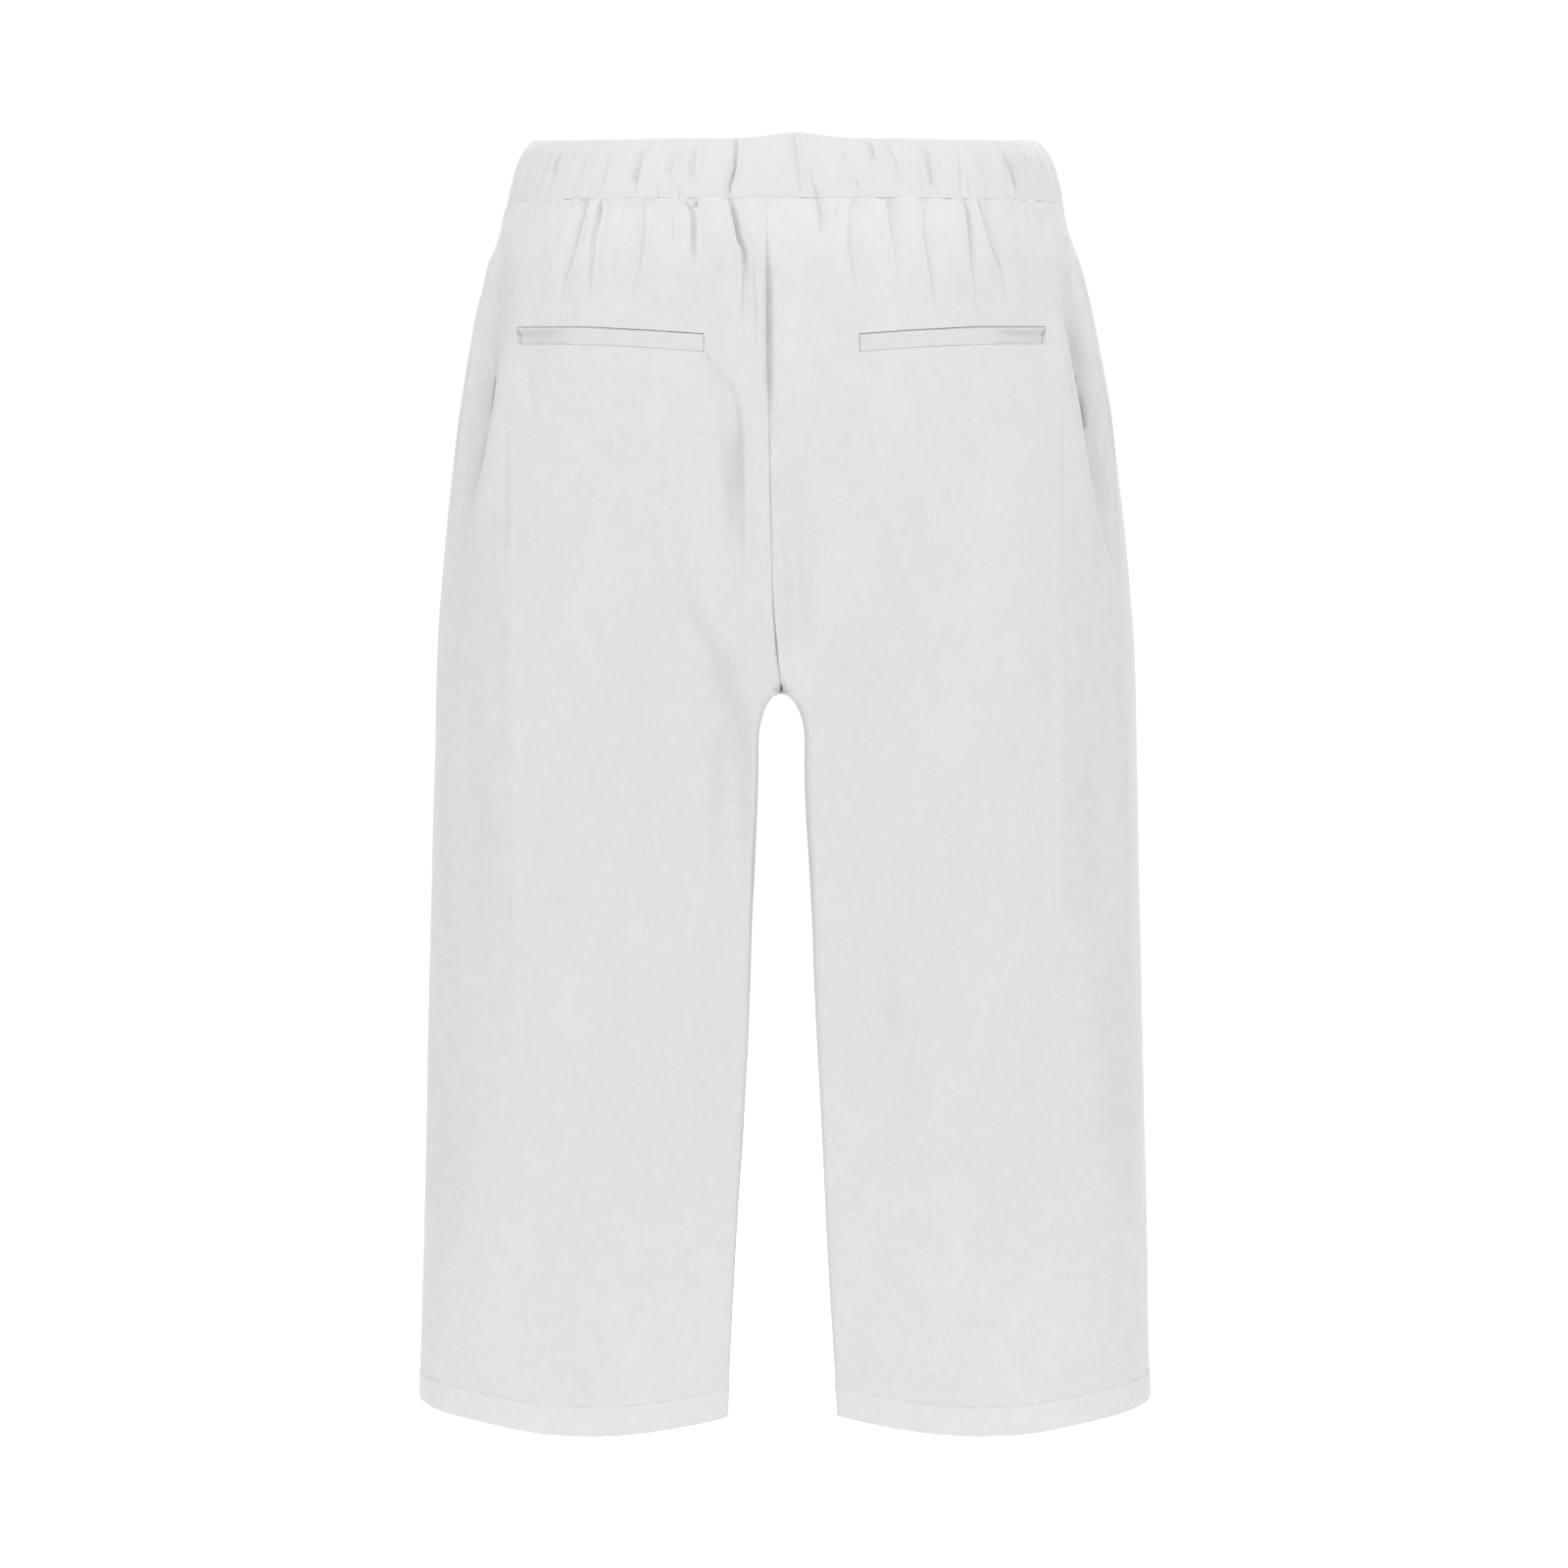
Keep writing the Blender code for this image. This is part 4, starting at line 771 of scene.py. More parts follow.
def into_casing(relief, drop, girth):
    """The top edge runs up into the band's casing."""
    lip = lip_push(girth, band_creases())
    relief = relief + SEAM_LIFT * bell(drop - WAIST_SEAM, 7.0)
    own = smooth((drop - 19.3) / 4.6)
    flush = lip + SEAM_LIFT + 0.34 * rumple(girth, girth * 0.0, (2.6, 50.0), 19)
    relief = relief * own + flush * (1.0 - own)
    under = 1.0 - smooth((drop - 18.93) / 0.05)
    return relief * (1.0 - under) + (lip - 0.36) * under


def pocket_recess(x, drop, hand):
    """Depth of the recess that a pocket's welt lies in."""
    start, end = WELT_ENDS[hand]
    down = drop - welt_top(x, hand)
    sides = [np.clip(way_in / 0.3, 0.0, 1.0) for way_in in (down, WELT_HEIGHT - down, x - start, end - x)]
    return WELT_RECESS * np.minimum.reduce(sides)


def dressed_panel(name, sheet):
    """Outer and inner points of a panel with seams, hem, pocket recess and creases."""
    face, hand, shares = sheet["face"], sheet["hand"], sheet["shares"]
    rows = leg_rows()
    fan = 1.0 - smooth((shares - ROWS_LEVEL) / (1.0 - ROWS_LEVEL))
    drop = rows[:, 1:2] + (rows[:, 0:1] - rows[:, 1:2]) * fan
    if face == "back":
        at = int(np.searchsorted(DROPS, WELT_MEAN + 4.0))
        shift = welt_top(np.abs(sheet["grid"][at, :, 0]), hand) - WELT_MEAN
        drop = drop + shift * smooth((drop - 80.0) / 14.0) * (1.0 - smooth((drop - 108.0) / 22.0))
    grid, outward = at_drops(sheet["grid"], drop), unit(at_drops(sheet["outward"], drop))
    way, relief = at_drops(sheet["way"], drop), at_drops(sheet["relief"], drop)

    relief = rolled_seams(relief, drop, way, way[:, -1:] - way, face, hand)
    relief = turned_hem(relief, drop, way, panel_seed(name) + 5)
    relief = into_casing(relief, drop, waist_girth(grid[0, :, 0], grid[0, :, 1]))
    low = relief
    if face == "back":
        relief = relief - pocket_recess(np.abs(grid[..., 0]), drop, hand)

    outer = grid + outward * (relief - rows[:, 2:3])[..., None]
    hem_top = int(np.flatnonzero(rows[:, 2] > 0.0)[0])
    while rows[hem_top, 0] > HEM_TOP - 0.2 or hem_top % 2:
        hem_top -= 1
    low = lowest_near(np.minimum(relief, low), 4)
    low = low - 0.7 * bell(drop - CROTCH, 14.0)
    inner = grid + outward * (low - CLOTH)[..., None]
    cloth = np.stack([hand * at_drops(sheet["grain"], drop), -drop], axis=-1)
    return outer, inner, cloth, hem_top


def strip(upper, lower):
    """Faces between two rows of points, where the lower row may have half as many."""
    if len(upper) == len(lower):
        return [(upper[j], upper[j + 1], lower[j + 1], lower[j]) for j in range(len(upper) - 1)]
    faces = []
    for j in range(len(lower) - 1):
        a, b, c = upper[2 * j : 2 * j + 3]
        d, e = lower[j : j + 2]
        faces += [(a, b, d), (b, e, d), (b, c, e)]
    return faces


def turned(faces):
    return [f[::-1] for f in faces]


def add_piece(name, verts, faces, cloth, material, offset=0.0):
    """A mesh piece in metres, with the cloth's own coordinates as its map."""
    mesh = bpy.data.meshes.new(name)
    mesh.from_pydata((np.asarray(verts) * MM).tolist(), [], faces)
    if cloth is not None:
        corner = np.empty(len(mesh.loops), dtype=np.int32)
        mesh.loops.foreach_get("vertex_index", corner)
        at = np.asarray(cloth)[corner] * MM + (offset, 0.0)
        mesh.uv_layers.new(name="cloth").data.foreach_set("uv", at.astype(np.float32).ravel())
    mesh.shade_smooth()
    mesh.update()
    piece = bpy.data.objects.new(name, mesh)
    mesh.materials.append(material)
    bpy.context.scene.collection.objects.link(piece)
    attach(piece, "root")
    return piece


def panel_piece(name, sheet, material, offset):
    """A panel: the outer rows have every column down to the pockets and every second one below, and the inner
    layer has half of the rows and columns of the outer one."""
    outer, inner, cloth, hem_top = dressed_panel(name, sheet)
    verts, flat, o, i = [], [], [], []
    for r in range(len(outer)):
        step = 1 if -outer[r, -1, 2] < WIDE_DROP else 2
        for layer, points, pick in ((o, outer, step), (i, inner, 2 * step)):
            if layer is i and (r % 2 or r > hem_top):
                continue
            layer.append(list(range(len(verts), len(verts) + len(points[r, ::pick]))))
            verts += points[r, ::pick].tolist()
            flat += cloth[r, ::pick].tolist()
    faces = []
    for r in range(len(o) - 1):
        faces += strip(o[r], o[r + 1])
    for r in range(len(i) - 1):
        faces += turned(strip(i[r], i[r + 1]))
    faces += turned(strip(o[0], i[0]))
    faces += strip(o[-1], i[-1])
    for column, flip in ((0, False), (-1, True)):
        edge, lining = [row[column] for row in o], [row[column] for row in i]
        side = strip(edge[: hem_top + 1], lining)
        side.append((edge[hem_top], edge[-1], lining[-1]))
        a, b = hem_top, len(edge) - 1
        while b - a > 1:
            side.append(tuple(edge[k] for k in ((a, a + 1, b - 1, b) if b - a > 2 else (a, a + 1, b))))
            a, b = a + 1, b - 1
        faces += turned(side) if flip else side
    if (sheet["hand"] == 1) != (sheet["face"] == "back"):
        faces = turned(faces)
    piece = add_piece(name + "_cloth", verts, faces, flat, material, offset)
    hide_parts(name)
    return piece


def on_panel(sheet, x, drop, level):
    """Points at a distance from the centre and a drop on a panel, lifted off its plain surface by level."""
    x, drop, level = np.broadcast_arrays(np.asarray(x, float), drop, level)
    k = np.clip(np.searchsorted(DROPS, drop) - 1, 0, len(DROPS) - 2)
    share = (drop - DROPS[k]) / (DROPS[k + 1] - DROPS[k])
    total = np.zeros(x.shape + (7,))
    for row in np.unique(np.concatenate([k.ravel(), k.ravel() + 1])):
        places = np.abs(sheet["grid"][row, :, 0])
        if sheet["grid"][row, 0, 0] * sheet["hand"] < 0.0:
            places = sheet["grid"][row, :, 0] * sheet["hand"]
        known = np.concatenate(
            [sheet["grid"][row], sheet["outward"][row], sheet["relief"][row][:, None]], axis=1
        )
        weight = np.where(k == row, 1.0 - share, 0.0) + np.where(k + 1 == row, share, 0.0)
        for channel in range(7):
            total[..., channel] += weight * np.interp(x, places, known[:, channel])
    return total[..., :3] + unit(total[..., 3:6]) * (total[..., 6] + level)[..., None]


# Section of a welt, a folded strip: distance below the pocket's mouth, and height off the panel.
WELT_SECTION = (
    (10.34, -1.3), (10.4, -0.8), (10.42, -0.35), (10.34, -0.08), (10.02, 0.12), (9.6, 0.28), (8.4, 0.4),
    (7, 0.46), (5.6, 0.52), (4.4, 0.66), (3.1, 1.04), (2.3, 1.26), (1.7, 1.14), (1.15, 0.84), (0.74, 0.52),
    (0.54, 0.16), (0.58, -0.36), (0.8, -0.62), (1.4, -0.78), (3.6, -0.84), (5.8, -0.86), (8, -0.92),
    (9.5, -1.3),
)


def welt_piece(name, sheet, material, offset):
    """A pocket welt: the folded strip that closes the pocket's mouth from below."""
    start, end = WELT_ENDS[sheet["hand"]]
    start, end = start + WELT_GAPS[0], end - WELT_GAPS[1]
    inset = (0.0, 0.18, 0.45, 0.9, 1.6)
    middle = place_between(start + inset[-1], end - inset[-1], WELT_COLUMNS)
    x = np.array([start + e for e in inset] + middle + [end - e for e in inset[::-1]])
    near_end = np.minimum(x - start, end - x)
    dip = 0.62 * (1.0 - np.sqrt(1.0 - (1.0 - np.clip(near_end / 1.6, 0.0, 1.0)) ** 2))
    section_at = np.array(WELT_SECTION)
    wave = 0.10 * rumple(x, x * 0.0, (16.0, 50.0), 91) + 0.05 * rumple(x, x * 0.0, (6.0, 50.0), 92)
    down = np.repeat(section_at[:, :1], len(x), axis=1)
    outer_end = smooth((x - end + WELT_SINKS_FROM) / WELT_SINKS_OVER)
    sunk = 0.10 - WELT_SINKS * outer_end * smooth((down - 1.2) / 2.4)
    height = section_at[:, 1:2]
    level = height + np.where(height > -0.7, 1.0, 0.8) * sunk + np.where(height > -0.5, wave, 0.0)
    level = level - dip * (height > -0.4)
    top = welt_top(x, sheet["hand"])
    points = on_panel(sheet, np.broadcast_to(x, down.shape), top + down, level)
    count, long = points.shape[:2]
    o = np.arange(count * long).reshape(count, long)
    faces = []
    for r in range(count):
        faces += strip(o[r].tolist(), o[(r + 1) % count].tolist())
    faces += [tuple(o[::-1, 0].tolist()), tuple(o[:, -1].tolist())]
    if sheet["hand"] < 0:
        faces = turned(faces)
    run = way_along(*section_at.T)
    cloth = np.stack([np.broadcast_to(-run[:, None], down.shape), np.broadcast_to(x, down.shape)], axis=-1)
    piece = add_piece(name + "_cloth", points.reshape(-1, 3), faces, cloth.reshape(-1, 2), material, offset)
    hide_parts(name)
    return piece


# Section of the band: how far out of the seam line, drop, and share of the puckers. It runs up the outside,
# over the fold, down the inside and up the slot that takes the panels' top edges.
SLOT_LINE = ((-2.25, 18.55), (-2.15, 17), (-2.15, 13.6), (-0.28, 13.6), (-0.28, 17.6))
BAND_OUTSIDE = (
    (-0.3, 18.94, 0.5), (0.24, 18.94, 0.5), (0.4, 18.9, 0.5), (0.45, 18.7, 0.51), (0.48, 18.3, 0.53),
    (0.58, 17.4, 0.58), (0.74, 16.3, 0.66), (0.92, 15, 0.74), (1.35, 11, 0.9), (1.62, 5, 0.98),
    (1.7, 0, 1), (1.62, -5, 0.98), (1.35, -10, 0.92), (0.95, -13.4, 0.84), (0.45, -16, 0.72),
    (-0.05, -17.5, 0.6), (-0.65, -18.55, 0.48), (-1.35, -19, 0.38), (-2.05, -18.7, 0.3),
    (-2.6, -17.7, 0.26), (-2.92, -16, 0.24), (-3.15, -12, 0.24), (-3.35, -4, 0.24), (-3.35, 6, 0.24),
    (-3.25, 14, 0.28), (-3.15, 17.6, 0.34), (-2.95, 18.6, 0.4), (-2.6, 18.88, 0.44),
)
BAND_SLOT = [[lift, drop, 0.5] for lift, drop in SLOT_LINE]


def lip_push(girth, lines):
    """Push of the band's lower edge, which the panels' top edges follow."""
    sharp = np.zeros(len(girth))
    for line in lines:
        place, depth, width = crease_line(line, 18.9)
        if depth > 0.0:
            sharp += depth * crease(round_band(girth - place), width)
    return 0.5 * band_puckers(girth, WAIST_SEAM) + 0.85 * sharp + band_unevenness(girth, 18.9, 0.5)


def band_unevenness(girth, drop, share):
    level = np.zeros(len(girth)) + drop
    fine = 0.20 * rumple(girth, level, (3.6, 13.0), 16) + 0.10 * rumple(girth, level, (2.0, 5.0), 17)
    return fine + 0.22 * share * rumple(girth, level * 0.0, (6.5, 50.0), 15)


def band_rows():
    """The band's section, with rows close together where it turns."""
    table = np.array(BAND_OUTSIDE)
    run = way_along(*table[:, :2].T)
    stops = [0.0, 0.3, *run[1:4]]
    while stops[-1] < run[-1]:
        lift, drop = (np.interp(stops[-1], run, table[:, k]) for k in (0, 1))
        turning, inside = abs(drop) > 15.5, lift < -2.9
        stops.append(stops[-1] + (0.55 if turning else 3.4 if inside else 1.7))
    stops[-1] = run[-1]
    rows = [[float(along(s, run, table[:, k])) for k in (0, 1, 2)] for s in stops]
    return np.array(rows + BAND_SLOT)


def ring_at(drop, girth):
    """Point and direction out of the plain ring at a girth measured at mid-height."""
    wrapped = round_band(girth)
    place, hand = np.abs(wrapped), np.where(wrapped < 0.0, -1.0, 1.0)
    back, front = BAND_WAYS["back"][-1], BAND_WAYS["front"][-1]
    found = []
    for nudge in (0.0, 0.8, -0.8):
        here = np.abs(place + nudge)
        flip = np.where(place + nudge < 0.0, -1.0, 1.0)
        over = here > BAND_HALF
        here = np.where(over, 2.0 * BAND_HALF - here, here)
        flip = np.where(over, -1.0, flip)
        at = np.zeros((len(girth), 2))
        for face, size, sign in (("back", back, 1.0), ("front", front, -1.0)):
            sx, sy, _, _ = section(drop, face)
            way = way_along(sx, sy)
            share = here / size if face == "back" else (BAND_HALF - here) / size
            mine = share <= 1.0 if face == "back" else share < 1.0
            px, py = np.interp(share * way[-1], way, sx), sign * np.interp(share * way[-1], way, sy)
            at[mine] = np.stack([px * flip, py], axis=-1)[mine]
        found.append(at)
    tangent = unit(found[1] - found[2])
    out = np.stack([-tangent[:, 1], tangent[:, 0]], axis=-1)
    side = np.stack([hand, np.ones_like(hand)], axis=-1)
    return found[0] * side, out * side


def band_creases():
    """Sharp creases all round the band: listed one by one across the back, and at random round the rest."""
    lines = []

    def girth_at(x, drop):
        sx, sy, _, _ = section(min(max(drop, BAND_TOP), WAIST_SEAM), "back")
        way = way_along(sx, sy)
        return math.copysign(np.interp(abs(x), sx, way) * BAND_WAYS["back"][-1] / way[-1], x)

    for points, *rest in BAND_CREASES:
        if points[-1][1] > 17.0:  # it runs on under the seam
            (x0, d0), (x1, d1) = points[-2:]
            points = (*points, (x1 + 0.5 * (x1 - x0), d1 + 0.5 * max(d1 - d0, 14.0)))
        girths = [(girth_at(x, drop), drop) for x, drop in points]
        lines.append((tuple(girths), *rest))
    rng = np.random.default_rng(2217)
    span = WAIST_SEAM - BAND_TOP
    for top, low, depth, _ in BAND_PUCKERS:
        if abs(top) < BY_HAND_WITHIN:
            continue
        from_top, to_low = rng.uniform(-19.0, -6.0), rng.uniform(6.0, 19.0)
        bend = rng.uniform(-1.2, 1.2)
        girths = [
            (top + (low - top) * (drop - BAND_TOP) / span + push, drop)
            for drop, push in ((from_top, 0.0), ((from_top + to_low) / 2.0, bend), (to_low, 0.0))
        ]
        width, strong, head = rng.uniform(1.8, 2.6), rng.uniform(0.4, 0.7), rng.uniform(0.0, 0.4)
        lines.append((tuple(girths), 0.8 * depth, width, strong, head))
        if rng.random() < 0.8:
            start = low + rng.choice((-1.0, 1.0)) * rng.uniform(5.5, 8.5)
            first = rng.uniform(2.0, 10.0)
            small = ((start, first), (start + rng.uniform(-2.0, 2.0), 18.9))
            lines.append((small, rng.uniform(0.6, 1.1), 1.7, 0.6, 0.0))
    return lines


def band_piece(material, offset):
    """The waistband: a casing of cloth round the elastic, drawn up in puckers."""
    count = BAND_COLUMNS
    share = np.arange(count) / count
    girth = -BAND_HALF + 2.0 * BAND_HALF * share
    girth -= BAND_CLOSER * BAND_HALF / math.pi * np.sin(2.0 * math.pi * (share - 0.5))
    lines = band_creases()
    rows = band_rows()
    verts, cloth, run, last = [], [], 0.0, None
    for lift, drop, share in rows:
        at, out = ring_at(drop, girth)
        push = lift + share * band_puckers(girth, drop)
        sharp = np.zeros(count)
        for line in lines:
            place, depth, width = crease_line(line, min(max(drop, BAND_TOP), 19.0))
            if depth > 0.0:
                sharp += depth * crease(round_band(girth - place), width)
        outside = smooth((lift + 2.6) / 1.2)
        push = push + outside * (0.85 * sharp + band_unevenness(girth, drop, share))
        ring = at + out * push[:, None]
        high = smooth(drop / BAND_TOP) * np.where(ring[:, 1] > 0.0, smooth(ring[:, 1] / 100.0), 0.0)
        dip = high * (BAND_DIP - BAND_PEAK * bell(ring[:, 0] - BAND_PEAK_X, BAND_PEAK_WIDTH))
        if last is not None:
            run += math.hypot(lift - last[0], drop - last[1])
        last = (lift, drop)
        verts.append(np.column_stack([ring, -drop - dip]))
        cloth.append(np.column_stack([girth, np.full(count, run)]))
    o = np.arange(len(rows) * count).reshape(len(rows), count)
    faces = []
    for r in range(len(rows)):
        upper, lower = o[r].tolist(), o[(r + 1) % len(rows)].tolist()
        faces += [(upper[j], lower[j], lower[(j + 1) % count], upper[(j + 1) % count]) for j in range(count)]
    verts, cloth = np.concatenate(verts), np.concatenate(cloth)
    piece = add_piece("waistband_cloth", verts, turned(faces), cloth, material, offset)
    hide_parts("waistband")
    return piece


STITCH_LENGTH, STITCH_PITCH, THREAD = 2.3, 3.1, 0.21  # millimetres


def hem_stitches(name, sheet, material):
    """Lock stitches along the top of the turned-up hem of one panel."""
    row = int(np.searchsorted(DROPS, STITCH_LINE))
    way, length = sheet["way"][row], sheet["way"][row, -1]
    count = int((length - 3.0) / STITCH_PITCH)
    first = (length - (count - 1) * STITCH_PITCH) / 2.0
    rng = np.random.default_rng(300 + list(PANELS).index(name))
    verts, faces = [], []
    sides = 6
    profile = ((-1.0, 0.12), (-0.82, 0.75), (-0.3, 1.0), (0.3, 1.0), (0.82, 0.75), (1.0, 0.12))
    for k in range(count):
        centre = first + k * STITCH_PITCH + rng.uniform(-0.12, 0.12)
        points = []
        for along_it, _ in profile:
            place = centre + along_it * STITCH_LENGTH / 2.0
            at = np.array([np.interp(place, way, sheet["grid"][row, :, a]) for a in range(3)])
            out = unit(np.array([np.interp(place, way, sheet["outward"][row, :, a]) for a in range(3)]))
            level = np.interp(place, way, sheet["relief"][row]) - 0.14 - 0.22 * along_it**4
            points.append((at + out * level, out))
        ahead = unit(points[-1][0] - points[0][0])
        base = len(verts)
        for (_, radius), (at, out) in zip(profile, points):
            across = unit(np.cross(ahead, out))
            for s in range(sides):
                angle = 2.0 * math.pi * s / sides
                verts.append(at + THREAD * radius * (across * math.cos(angle) + out * math.sin(angle)))
        for r in range(len(profile) - 1):
            for s in range(sides):
                a, b = base + r * sides + s, base + r * sides + (s + 1) % sides
                faces.append((a, b, b + sides, a + sides))
        faces.append(tuple(base + s for s in range(sides))[::-1])
        faces.append(tuple(base + (len(profile) - 1) * sides + s for s in range(sides)))
    return add_piece("hem_stitches_" + name, verts, faces, None, material)


# ------------------------------------------------------------------------------------------ materials


def socket(group, name, kind, output=False, value=None):
    made = group.interface.new_socket(name=name, in_out="OUTPUT" if output else "INPUT", socket_type=kind)
    if value is not None:
        made.default_value = value
    return made


def value_of(tree, operation, *inputs, clamp=False):
    """A maths node on numbers or sockets."""
    node = tree.nodes.new("ShaderNodeMath")
    node.operation = operation
    node.use_clamp = clamp
    for place, given in zip(node.inputs, inputs):
        if isinstance(given, (int, float)):
            place.default_value = given
        else:
            tree.links.new(given, place)
    return node.outputs[0]


def threads(tree, cloth, across, down, detail=1.5, rough=0.5):
    """Noise drawn out to threads: its grain is across by down millimetres."""
    scaled = tree.nodes.new("ShaderNodeVectorMath")
    scaled.operation = "MULTIPLY"
    tree.links.new(cloth, scaled.inputs[0])
    scaled.inputs[1].default_value = (1000.0 / across, 1000.0 / down, 1.0)
    noise = tree.nodes.new("ShaderNodeTexNoise")
    tree.links.new(scaled.outputs[0], noise.inputs["Vector"])
    noise.inputs["Scale"].default_value = 1.0
    noise.inputs["Detail"].default_value = detail
    noise.inputs["Roughness"].default_value = rough
    return noise.outputs[0]


def between(tree, value, low, high):
    """0 below low, 1 above high."""
    node = tree.nodes.new("ShaderNodeMapRange")
    node.interpolation_type = "SMOOTHSTEP"
    tree.links.new(value, node.inputs["Value"])
    node.inputs["From Min"].default_value = low
    node.inputs["From Max"].default_value = high
    return node.outputs["Result"]


def mixed(tree, factor, first, second, result, blend="MIX"):
    """A colour mix. Each colour is a socket, or the colour itself."""
    mix = tree.nodes.new("ShaderNodeMix")
    mix.data_type, mix.blend_type = "RGBA", blend
    tree.links.new(factor, mix.inputs["Factor"])
    for place, given in zip([s for s in mix.inputs if s.type == "RGBA"], (first, second)):
        if isinstance(given, tuple):
            place.default_value = given
        else:
            tree.links.new(given, place)
    tree.links.new([s for s in mix.outputs if s.type == "RGBA"][0], result)


def linen_weave():
    """Woven linen: fine threads both ways, thick slubs down the cloth, flecks across it and pale neps. Its
    output "Layers and painted light" is where the turned-up hem lies in two layers, plus painted light: at
    half strength up the lower legs, and at full strength from the waist seam down, fading out 5 to 48 mm
    below it."""
    group = bpy.data.node_groups.new("Linen weave", "ShaderNodeTree")
    socket(group, "Shaded thread", "NodeSocketColor", value=(0.70, 0.70, 0.695, 1.0))
    socket(group, "Lit thread", "NodeSocketColor", value=(0.80, 0.80, 0.797, 1.0))
    for name, value in (("Slub", 0.3), ("Fleck", 0.3), ("Tone", 0.2)):
        socket(group, name, "NodeSocketFloat", value=value)
    socket(group, "Colour", "NodeSocketColor", output=True)
    for name in ("Height", "Roughness", "Layers and painted light"):
        socket(group, name, "NodeSocketFloat", output=True)
    given, made = group.nodes.new("NodeGroupInput"), group.nodes.new("NodeGroupOutput")
    cloth_map = group.nodes.new("ShaderNodeUVMap")
    cloth_map.uv_map = "cloth"
    cloth = cloth_map.outputs["UV"]

    warp = threads(group, cloth, 0.70, 6.0)
    weft = threads(group, cloth, 5.0, 0.66)
    slub = between(group, threads(group, cloth, 1.5, 13.0, 1.0), 0.58, 0.76)
    thin = between(group, threads(group, cloth, 1.4, 8.0, 1.0), 0.60, 0.78)
    fleck = between(group, threads(group, cloth, 6.5, 1.1, 0.5), 0.64, 0.80)
    nep = between(group, threads(group, cloth, 1.7, 1.3, 0.0), 0.76, 0.86)
    tone = value_of(group, "MULTIPLY", threads(group, cloth, 46.0, 130.0, 1.0), 0.4)
    for across, down, share in ((14.0, 22.0, 0.35), (5.5, 8.0, 0.25)):
        tone = value_of(group, "MULTIPLY_ADD", threads(group, cloth, across, down, 1.0), share, tone)

    shade = value_of(group, "MULTIPLY_ADD", warp, 0.28, 0.26)
    shade = value_of(group, "MULTIPLY_ADD", weft, 0.22, shade)
    shade = value_of(group, "MULTIPLY_ADD", slub, given.outputs["Slub"], shade)
    shade = value_of(group, "SUBTRACT", shade, value_of(group, "MULTIPLY", thin, given.outputs["Slub"]))
    shade = value_of(group, "MULTIPLY_ADD", fleck, given.outputs["Fleck"], shade)
    shade = value_of(group, "MULTIPLY_ADD", nep, given.outputs["Fleck"], shade)
    centred = value_of(group, "SUBTRACT", tone, 0.5)
    shade = value_of(group, "MULTIPLY_ADD", centred, given.outputs["Tone"], shade, clamp=True)
    mixed(group, shade, given.outputs["Shaded thread"], given.outputs["Lit thread"], made.inputs["Colour"])

    height = [value_of(group, "MULTIPLY", thread, 0.26) for thread in (warp, weft)]
    height = value_of(group, "ADD", *height)
    for part, share in ((slub, 0.55), (thin, -0.35), (fleck, 0.40), (nep, 0.45)):
        height = value_of(group, "MULTIPLY_ADD", part, share, height)
    group.links.new(height, made.inputs["Height"])
    rough = value_of(group, "MULTIPLY_ADD", height, -0.12, 0.93, clamp=True)
    group.links.new(rough, made.inputs["Roughness"])

    parts = group.nodes.new("ShaderNodeSeparateXYZ")
    group.links.new(cloth, parts.inputs[0])
    below = value_of(group, "MULTIPLY", parts.outputs[1], -1000.0)
    hem = between(group, below, HEM_TOP, HEM_TOP + 2.6)
    # painted light: the lower legs brighten at half strength from 210 to 40 mm above the hem
    lower = value_of(group, "MULTIPLY", between(group, below, HEM - 210.0, HEM - 40.0), 0.5)
    hem = value_of(group, "MAXIMUM", hem, lower)
    # painted light from above: full strength down to 5 mm below the waist seam, fading out by 48 mm below it
    top = value_of(group, "SUBTRACT", 1.0, between(group, below, WAIST_SEAM + 5.0, WAIST_SEAM + 48.0))
    group.links.new(value_of(group, "MAXIMUM", hem, top), made.inputs["Layers and painted light"])
    return group


def linen(name, group, shaded, lit, slub, fleck, tone, depth, doubled=None):
    """A linen material: the weave gives its colour, roughness and relief. Where a value for doubled is given,
    the cloth is brighter by it where the turned-up hem lies in two layers, and by painted light up the lower
    legs and below the waist seam."""
    material = bpy.data.materials.new(name)
    material.use_nodes = True
    tree = material.node_tree
    shader = tree.nodes["Principled BSDF"]
    weave = tree.nodes.new("ShaderNodeGroup")
    weave.node_tree = group
    weave.inputs["Shaded thread"].default_value = (*shaded, 1.0)
    weave.inputs["Lit thread"].default_value = (*lit, 1.0)
    for place, value in (("Slub", slub), ("Fleck", fleck), ("Tone", tone)):
        weave.inputs[place].default_value = value
    colour, base = weave.outputs["Colour"], shader.inputs["Base Color"]
    if doubled is None:
        tree.links.new(colour, base)
    else:
        # painted light: brightens the colour by doubled at the turned-up hem, up the lower legs and below the
        # waist seam
        mixed(tree, weave.outputs["Layers and painted light"], colour, (doubled, doubled, doubled, 1.0), base, "MULTIPLY")
    tree.links.new(weave.outputs["Roughness"], shader.inputs["Roughness"])
    bump = tree.nodes.new("ShaderNodeBump")
    bump.inputs["Strength"].default_value = 0.75
    bump.inputs["Distance"].default_value = depth * MM
    tree.links.new(weave.outputs["Height"], bump.inputs["Height"])
    tree.links.new(bump.outputs["Normal"], shader.inputs["Normal"])
    for place, value in (("Specular IOR Level", 0.25), ("Sheen Weight", 0.35), ("Sheen Roughness", 0.5)):
        shader.inputs[place].default_value = value
    return material


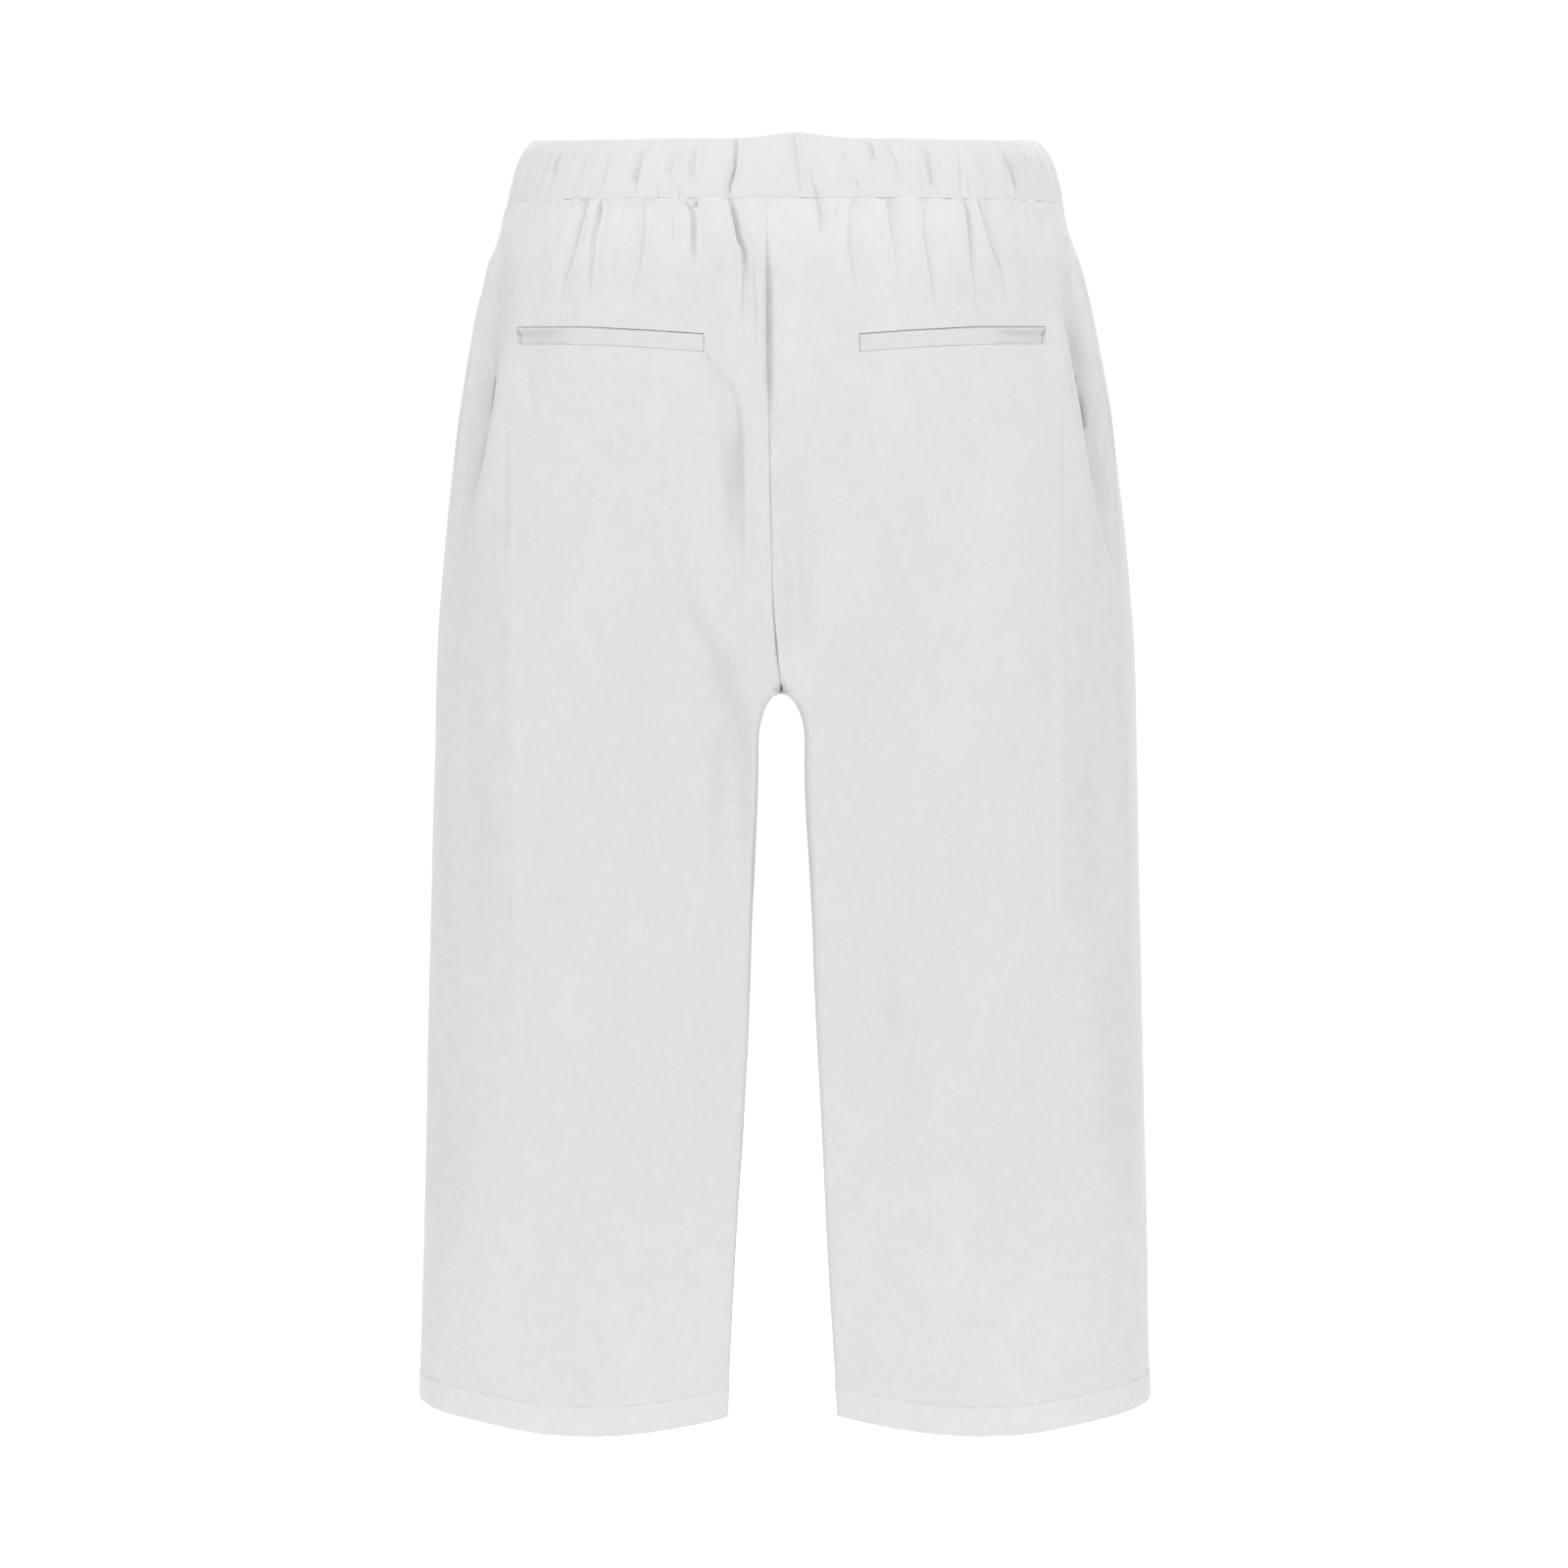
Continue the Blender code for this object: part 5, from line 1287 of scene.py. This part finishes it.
def thread_material():
    """Cotton sewing thread: plied, a little brighter than the cloth."""
    material = bpy.data.materials.new("Sewing thread")
    material.use_nodes = True
    tree = material.node_tree
    shader = tree.nodes["Principled BSDF"]
    where = tree.nodes.new("ShaderNodeTexCoord")
    ply = tree.nodes.new("ShaderNodeTexNoise")
    ply.inputs["Scale"].default_value = 2600.0
    tree.links.new(where.outputs["Object"], ply.inputs["Vector"])
    colour = tree.nodes.new("ShaderNodeValToRGB")
    colour.color_ramp.elements[0].color = (0.68, 0.68, 0.675, 1.0)
    colour.color_ramp.elements[1].color = (0.86, 0.86, 0.855, 1.0)
    tree.links.new(ply.outputs[0], colour.inputs[0])
    tree.links.new(colour.outputs[0], shader.inputs["Base Color"])
    bump = tree.nodes.new("ShaderNodeBump")
    bump.inputs["Distance"].default_value = 0.05 * MM
    tree.links.new(ply.outputs[0], bump.inputs["Height"])
    tree.links.new(bump.outputs["Normal"], shader.inputs["Normal"])
    shader.inputs["Roughness"].default_value = 0.7
    return material


# ---------------------------------------------------------------------------------- studio and camera

AIM = (0.0009, 0.0, -0.366)
DISTANCE, ELEVATION, SPAN = 3.57, math.radians(3.3), 0.944
FLOOR = -1.05
FLOOR_GLOW = 0.31
WORLD_LIGHT = 0.64
LAMPS = (
    ("Key", (1.3, 2.2, 2.6), (2.0, 1.4), 29.0),
    ("Key beside", (-1.3, 2.2, 2.6), (2.0, 1.4), 29.0),
    ("Front", (-0.4, -2.4, 2.5), (2.4, 1.4), 46.0),
)


def studio():
    """A pale floor that runs into a white room, with soft light all round and a little more from above."""
    world = bpy.data.worlds.new("White room")
    bpy.context.scene.world = world
    world.use_nodes = True
    tree = world.node_tree
    tree.nodes.clear()
    out = tree.nodes.new("ShaderNodeOutputWorld")
    kinds = ("ShaderNodeBackground", "ShaderNodeBackground", "ShaderNodeMixShader")
    light, seen, choose = (tree.nodes.new(kind) for kind in kinds)
    path = tree.nodes.new("ShaderNodeLightPath")
    light.inputs["Color"].default_value = seen.inputs["Color"].default_value = (1.0, 1.0, 1.0, 1.0)
    light.inputs["Strength"].default_value = WORLD_LIGHT
    seen.inputs["Strength"].default_value = 1.05
    for k, given in enumerate((path.outputs["Is Camera Ray"], light.outputs[0], seen.outputs[0])):
        tree.links.new(given, choose.inputs[k])
    tree.links.new(choose.outputs[0], out.inputs[0])

    mesh = bpy.data.meshes.new("floor")
    around = [(6.0 * math.cos(a), 6.0 * math.sin(a), FLOOR) for a in np.linspace(0.0, 2.0 * math.pi, 65)[:-1]]
    mesh.from_pydata(around, [], [tuple(range(64))])
    floor = bpy.data.objects.new("floor", mesh)
    material = bpy.data.materials.new("Pale floor")
    material.use_nodes = True
    shader = material.node_tree.nodes["Principled BSDF"]
    shader.inputs["Base Color"].default_value = (0.8, 0.8, 0.8, 1.0)
    shader.inputs["Roughness"].default_value = 0.9
    shader.inputs["Emission Color"].default_value = (1.0, 1.0, 1.0, 1.0)
    tree = material.node_tree
    bright = tree.nodes.new("ShaderNodeLightPath").outputs["Is Camera Ray"]
    glow = value_of(tree, "MULTIPLY_ADD", bright, 1.0 - FLOOR_GLOW, FLOOR_GLOW)
    tree.links.new(glow, shader.inputs["Emission Strength"])
    mesh.materials.append(material)
    bpy.context.scene.collection.objects.link(floor)

    for name, place, size, power in LAMPS:
        data = bpy.data.lights.new(name, "AREA")
        data.shape = "RECTANGLE"
        data.size, data.size_y = size
        data.energy = power
        lamp = bpy.data.objects.new(name, data)
        lamp.location = place
        lamp.rotation_mode = "QUATERNION"
        to_middle = np.array(AIM) - np.array(place)
        lamp.rotation_quaternion = Vector(to_middle).to_track_quat("-Z", "Y")
        bpy.context.scene.collection.objects.link(lamp)


def camera():
    data = bpy.data.cameras.new("camera")
    data.sensor_width = 36.0
    data.lens = 36.0 * DISTANCE / SPAN
    view = bpy.data.objects.new("camera", data)
    back = Vector((0.0, math.cos(ELEVATION), math.sin(ELEVATION)))
    view.location = Vector(AIM) + back * DISTANCE
    view.rotation_mode = "QUATERNION"
    view.rotation_quaternion = (-back).to_track_quat("-Z", "Y")
    data.clip_start, data.clip_end = 0.05, 60.0
    bpy.context.scene.collection.objects.link(view)
    bpy.context.scene.camera = view


def dress():
    """Every piece of the pants, over its solid."""
    weave = linen_weave()
    shaded, lit = (0.675, 0.675, 0.672), (0.785, 0.785, 0.782)
    # the legs' cloth is up to 6 % brighter at the turned-up hem, and by painted light up the lower legs and
    # below the waist seam
    leg_linen = linen("Leg linen", weave, shaded, lit, 0.34, 0.48, 1.10, 0.12, doubled=1.06)
    # the band's linen is about 4 % lighter than the legs': partly the casing's folded layers, partly painted
    # light from above
    shaded, lit = (0.708, 0.708, 0.705), (0.818, 0.818, 0.815)
    band_linen_painted_light = linen("Waistband linen", weave, shaded, lit, 0.28, 0.35, 0.50, 0.14)
    # the welts' linen is slightly darker than the legs': painted shade of the pocket's recess
    shaded, lit = (0.665, 0.665, 0.662), (0.775, 0.775, 0.772)
    welt_linen_painted_shade = linen("Welt linen", weave, shaded, lit, 0.22, 0.25, 0.30, 0.10)
    thread = thread_material()
    sheets = panel_surfaces()
    panels = {}
    for k, (name, sheet) in enumerate(sheets.items()):
        panels[name] = panel_piece(name, sheet, leg_linen, 0.9 * k)
    band = band_piece(band_linen_painted_light, 5.0)
    welts = {side: welt_piece("welt_" + side, sheets["back_" + side], welt_linen_painted_shade, 7.0) for side, _ in SIDES}
    for name, piece in panels.items():
        stitches = hem_stitches(name, sheets[name], thread)


bpy.context.scene.view_settings.view_transform = "Standard"
camera()
studio()
dress()
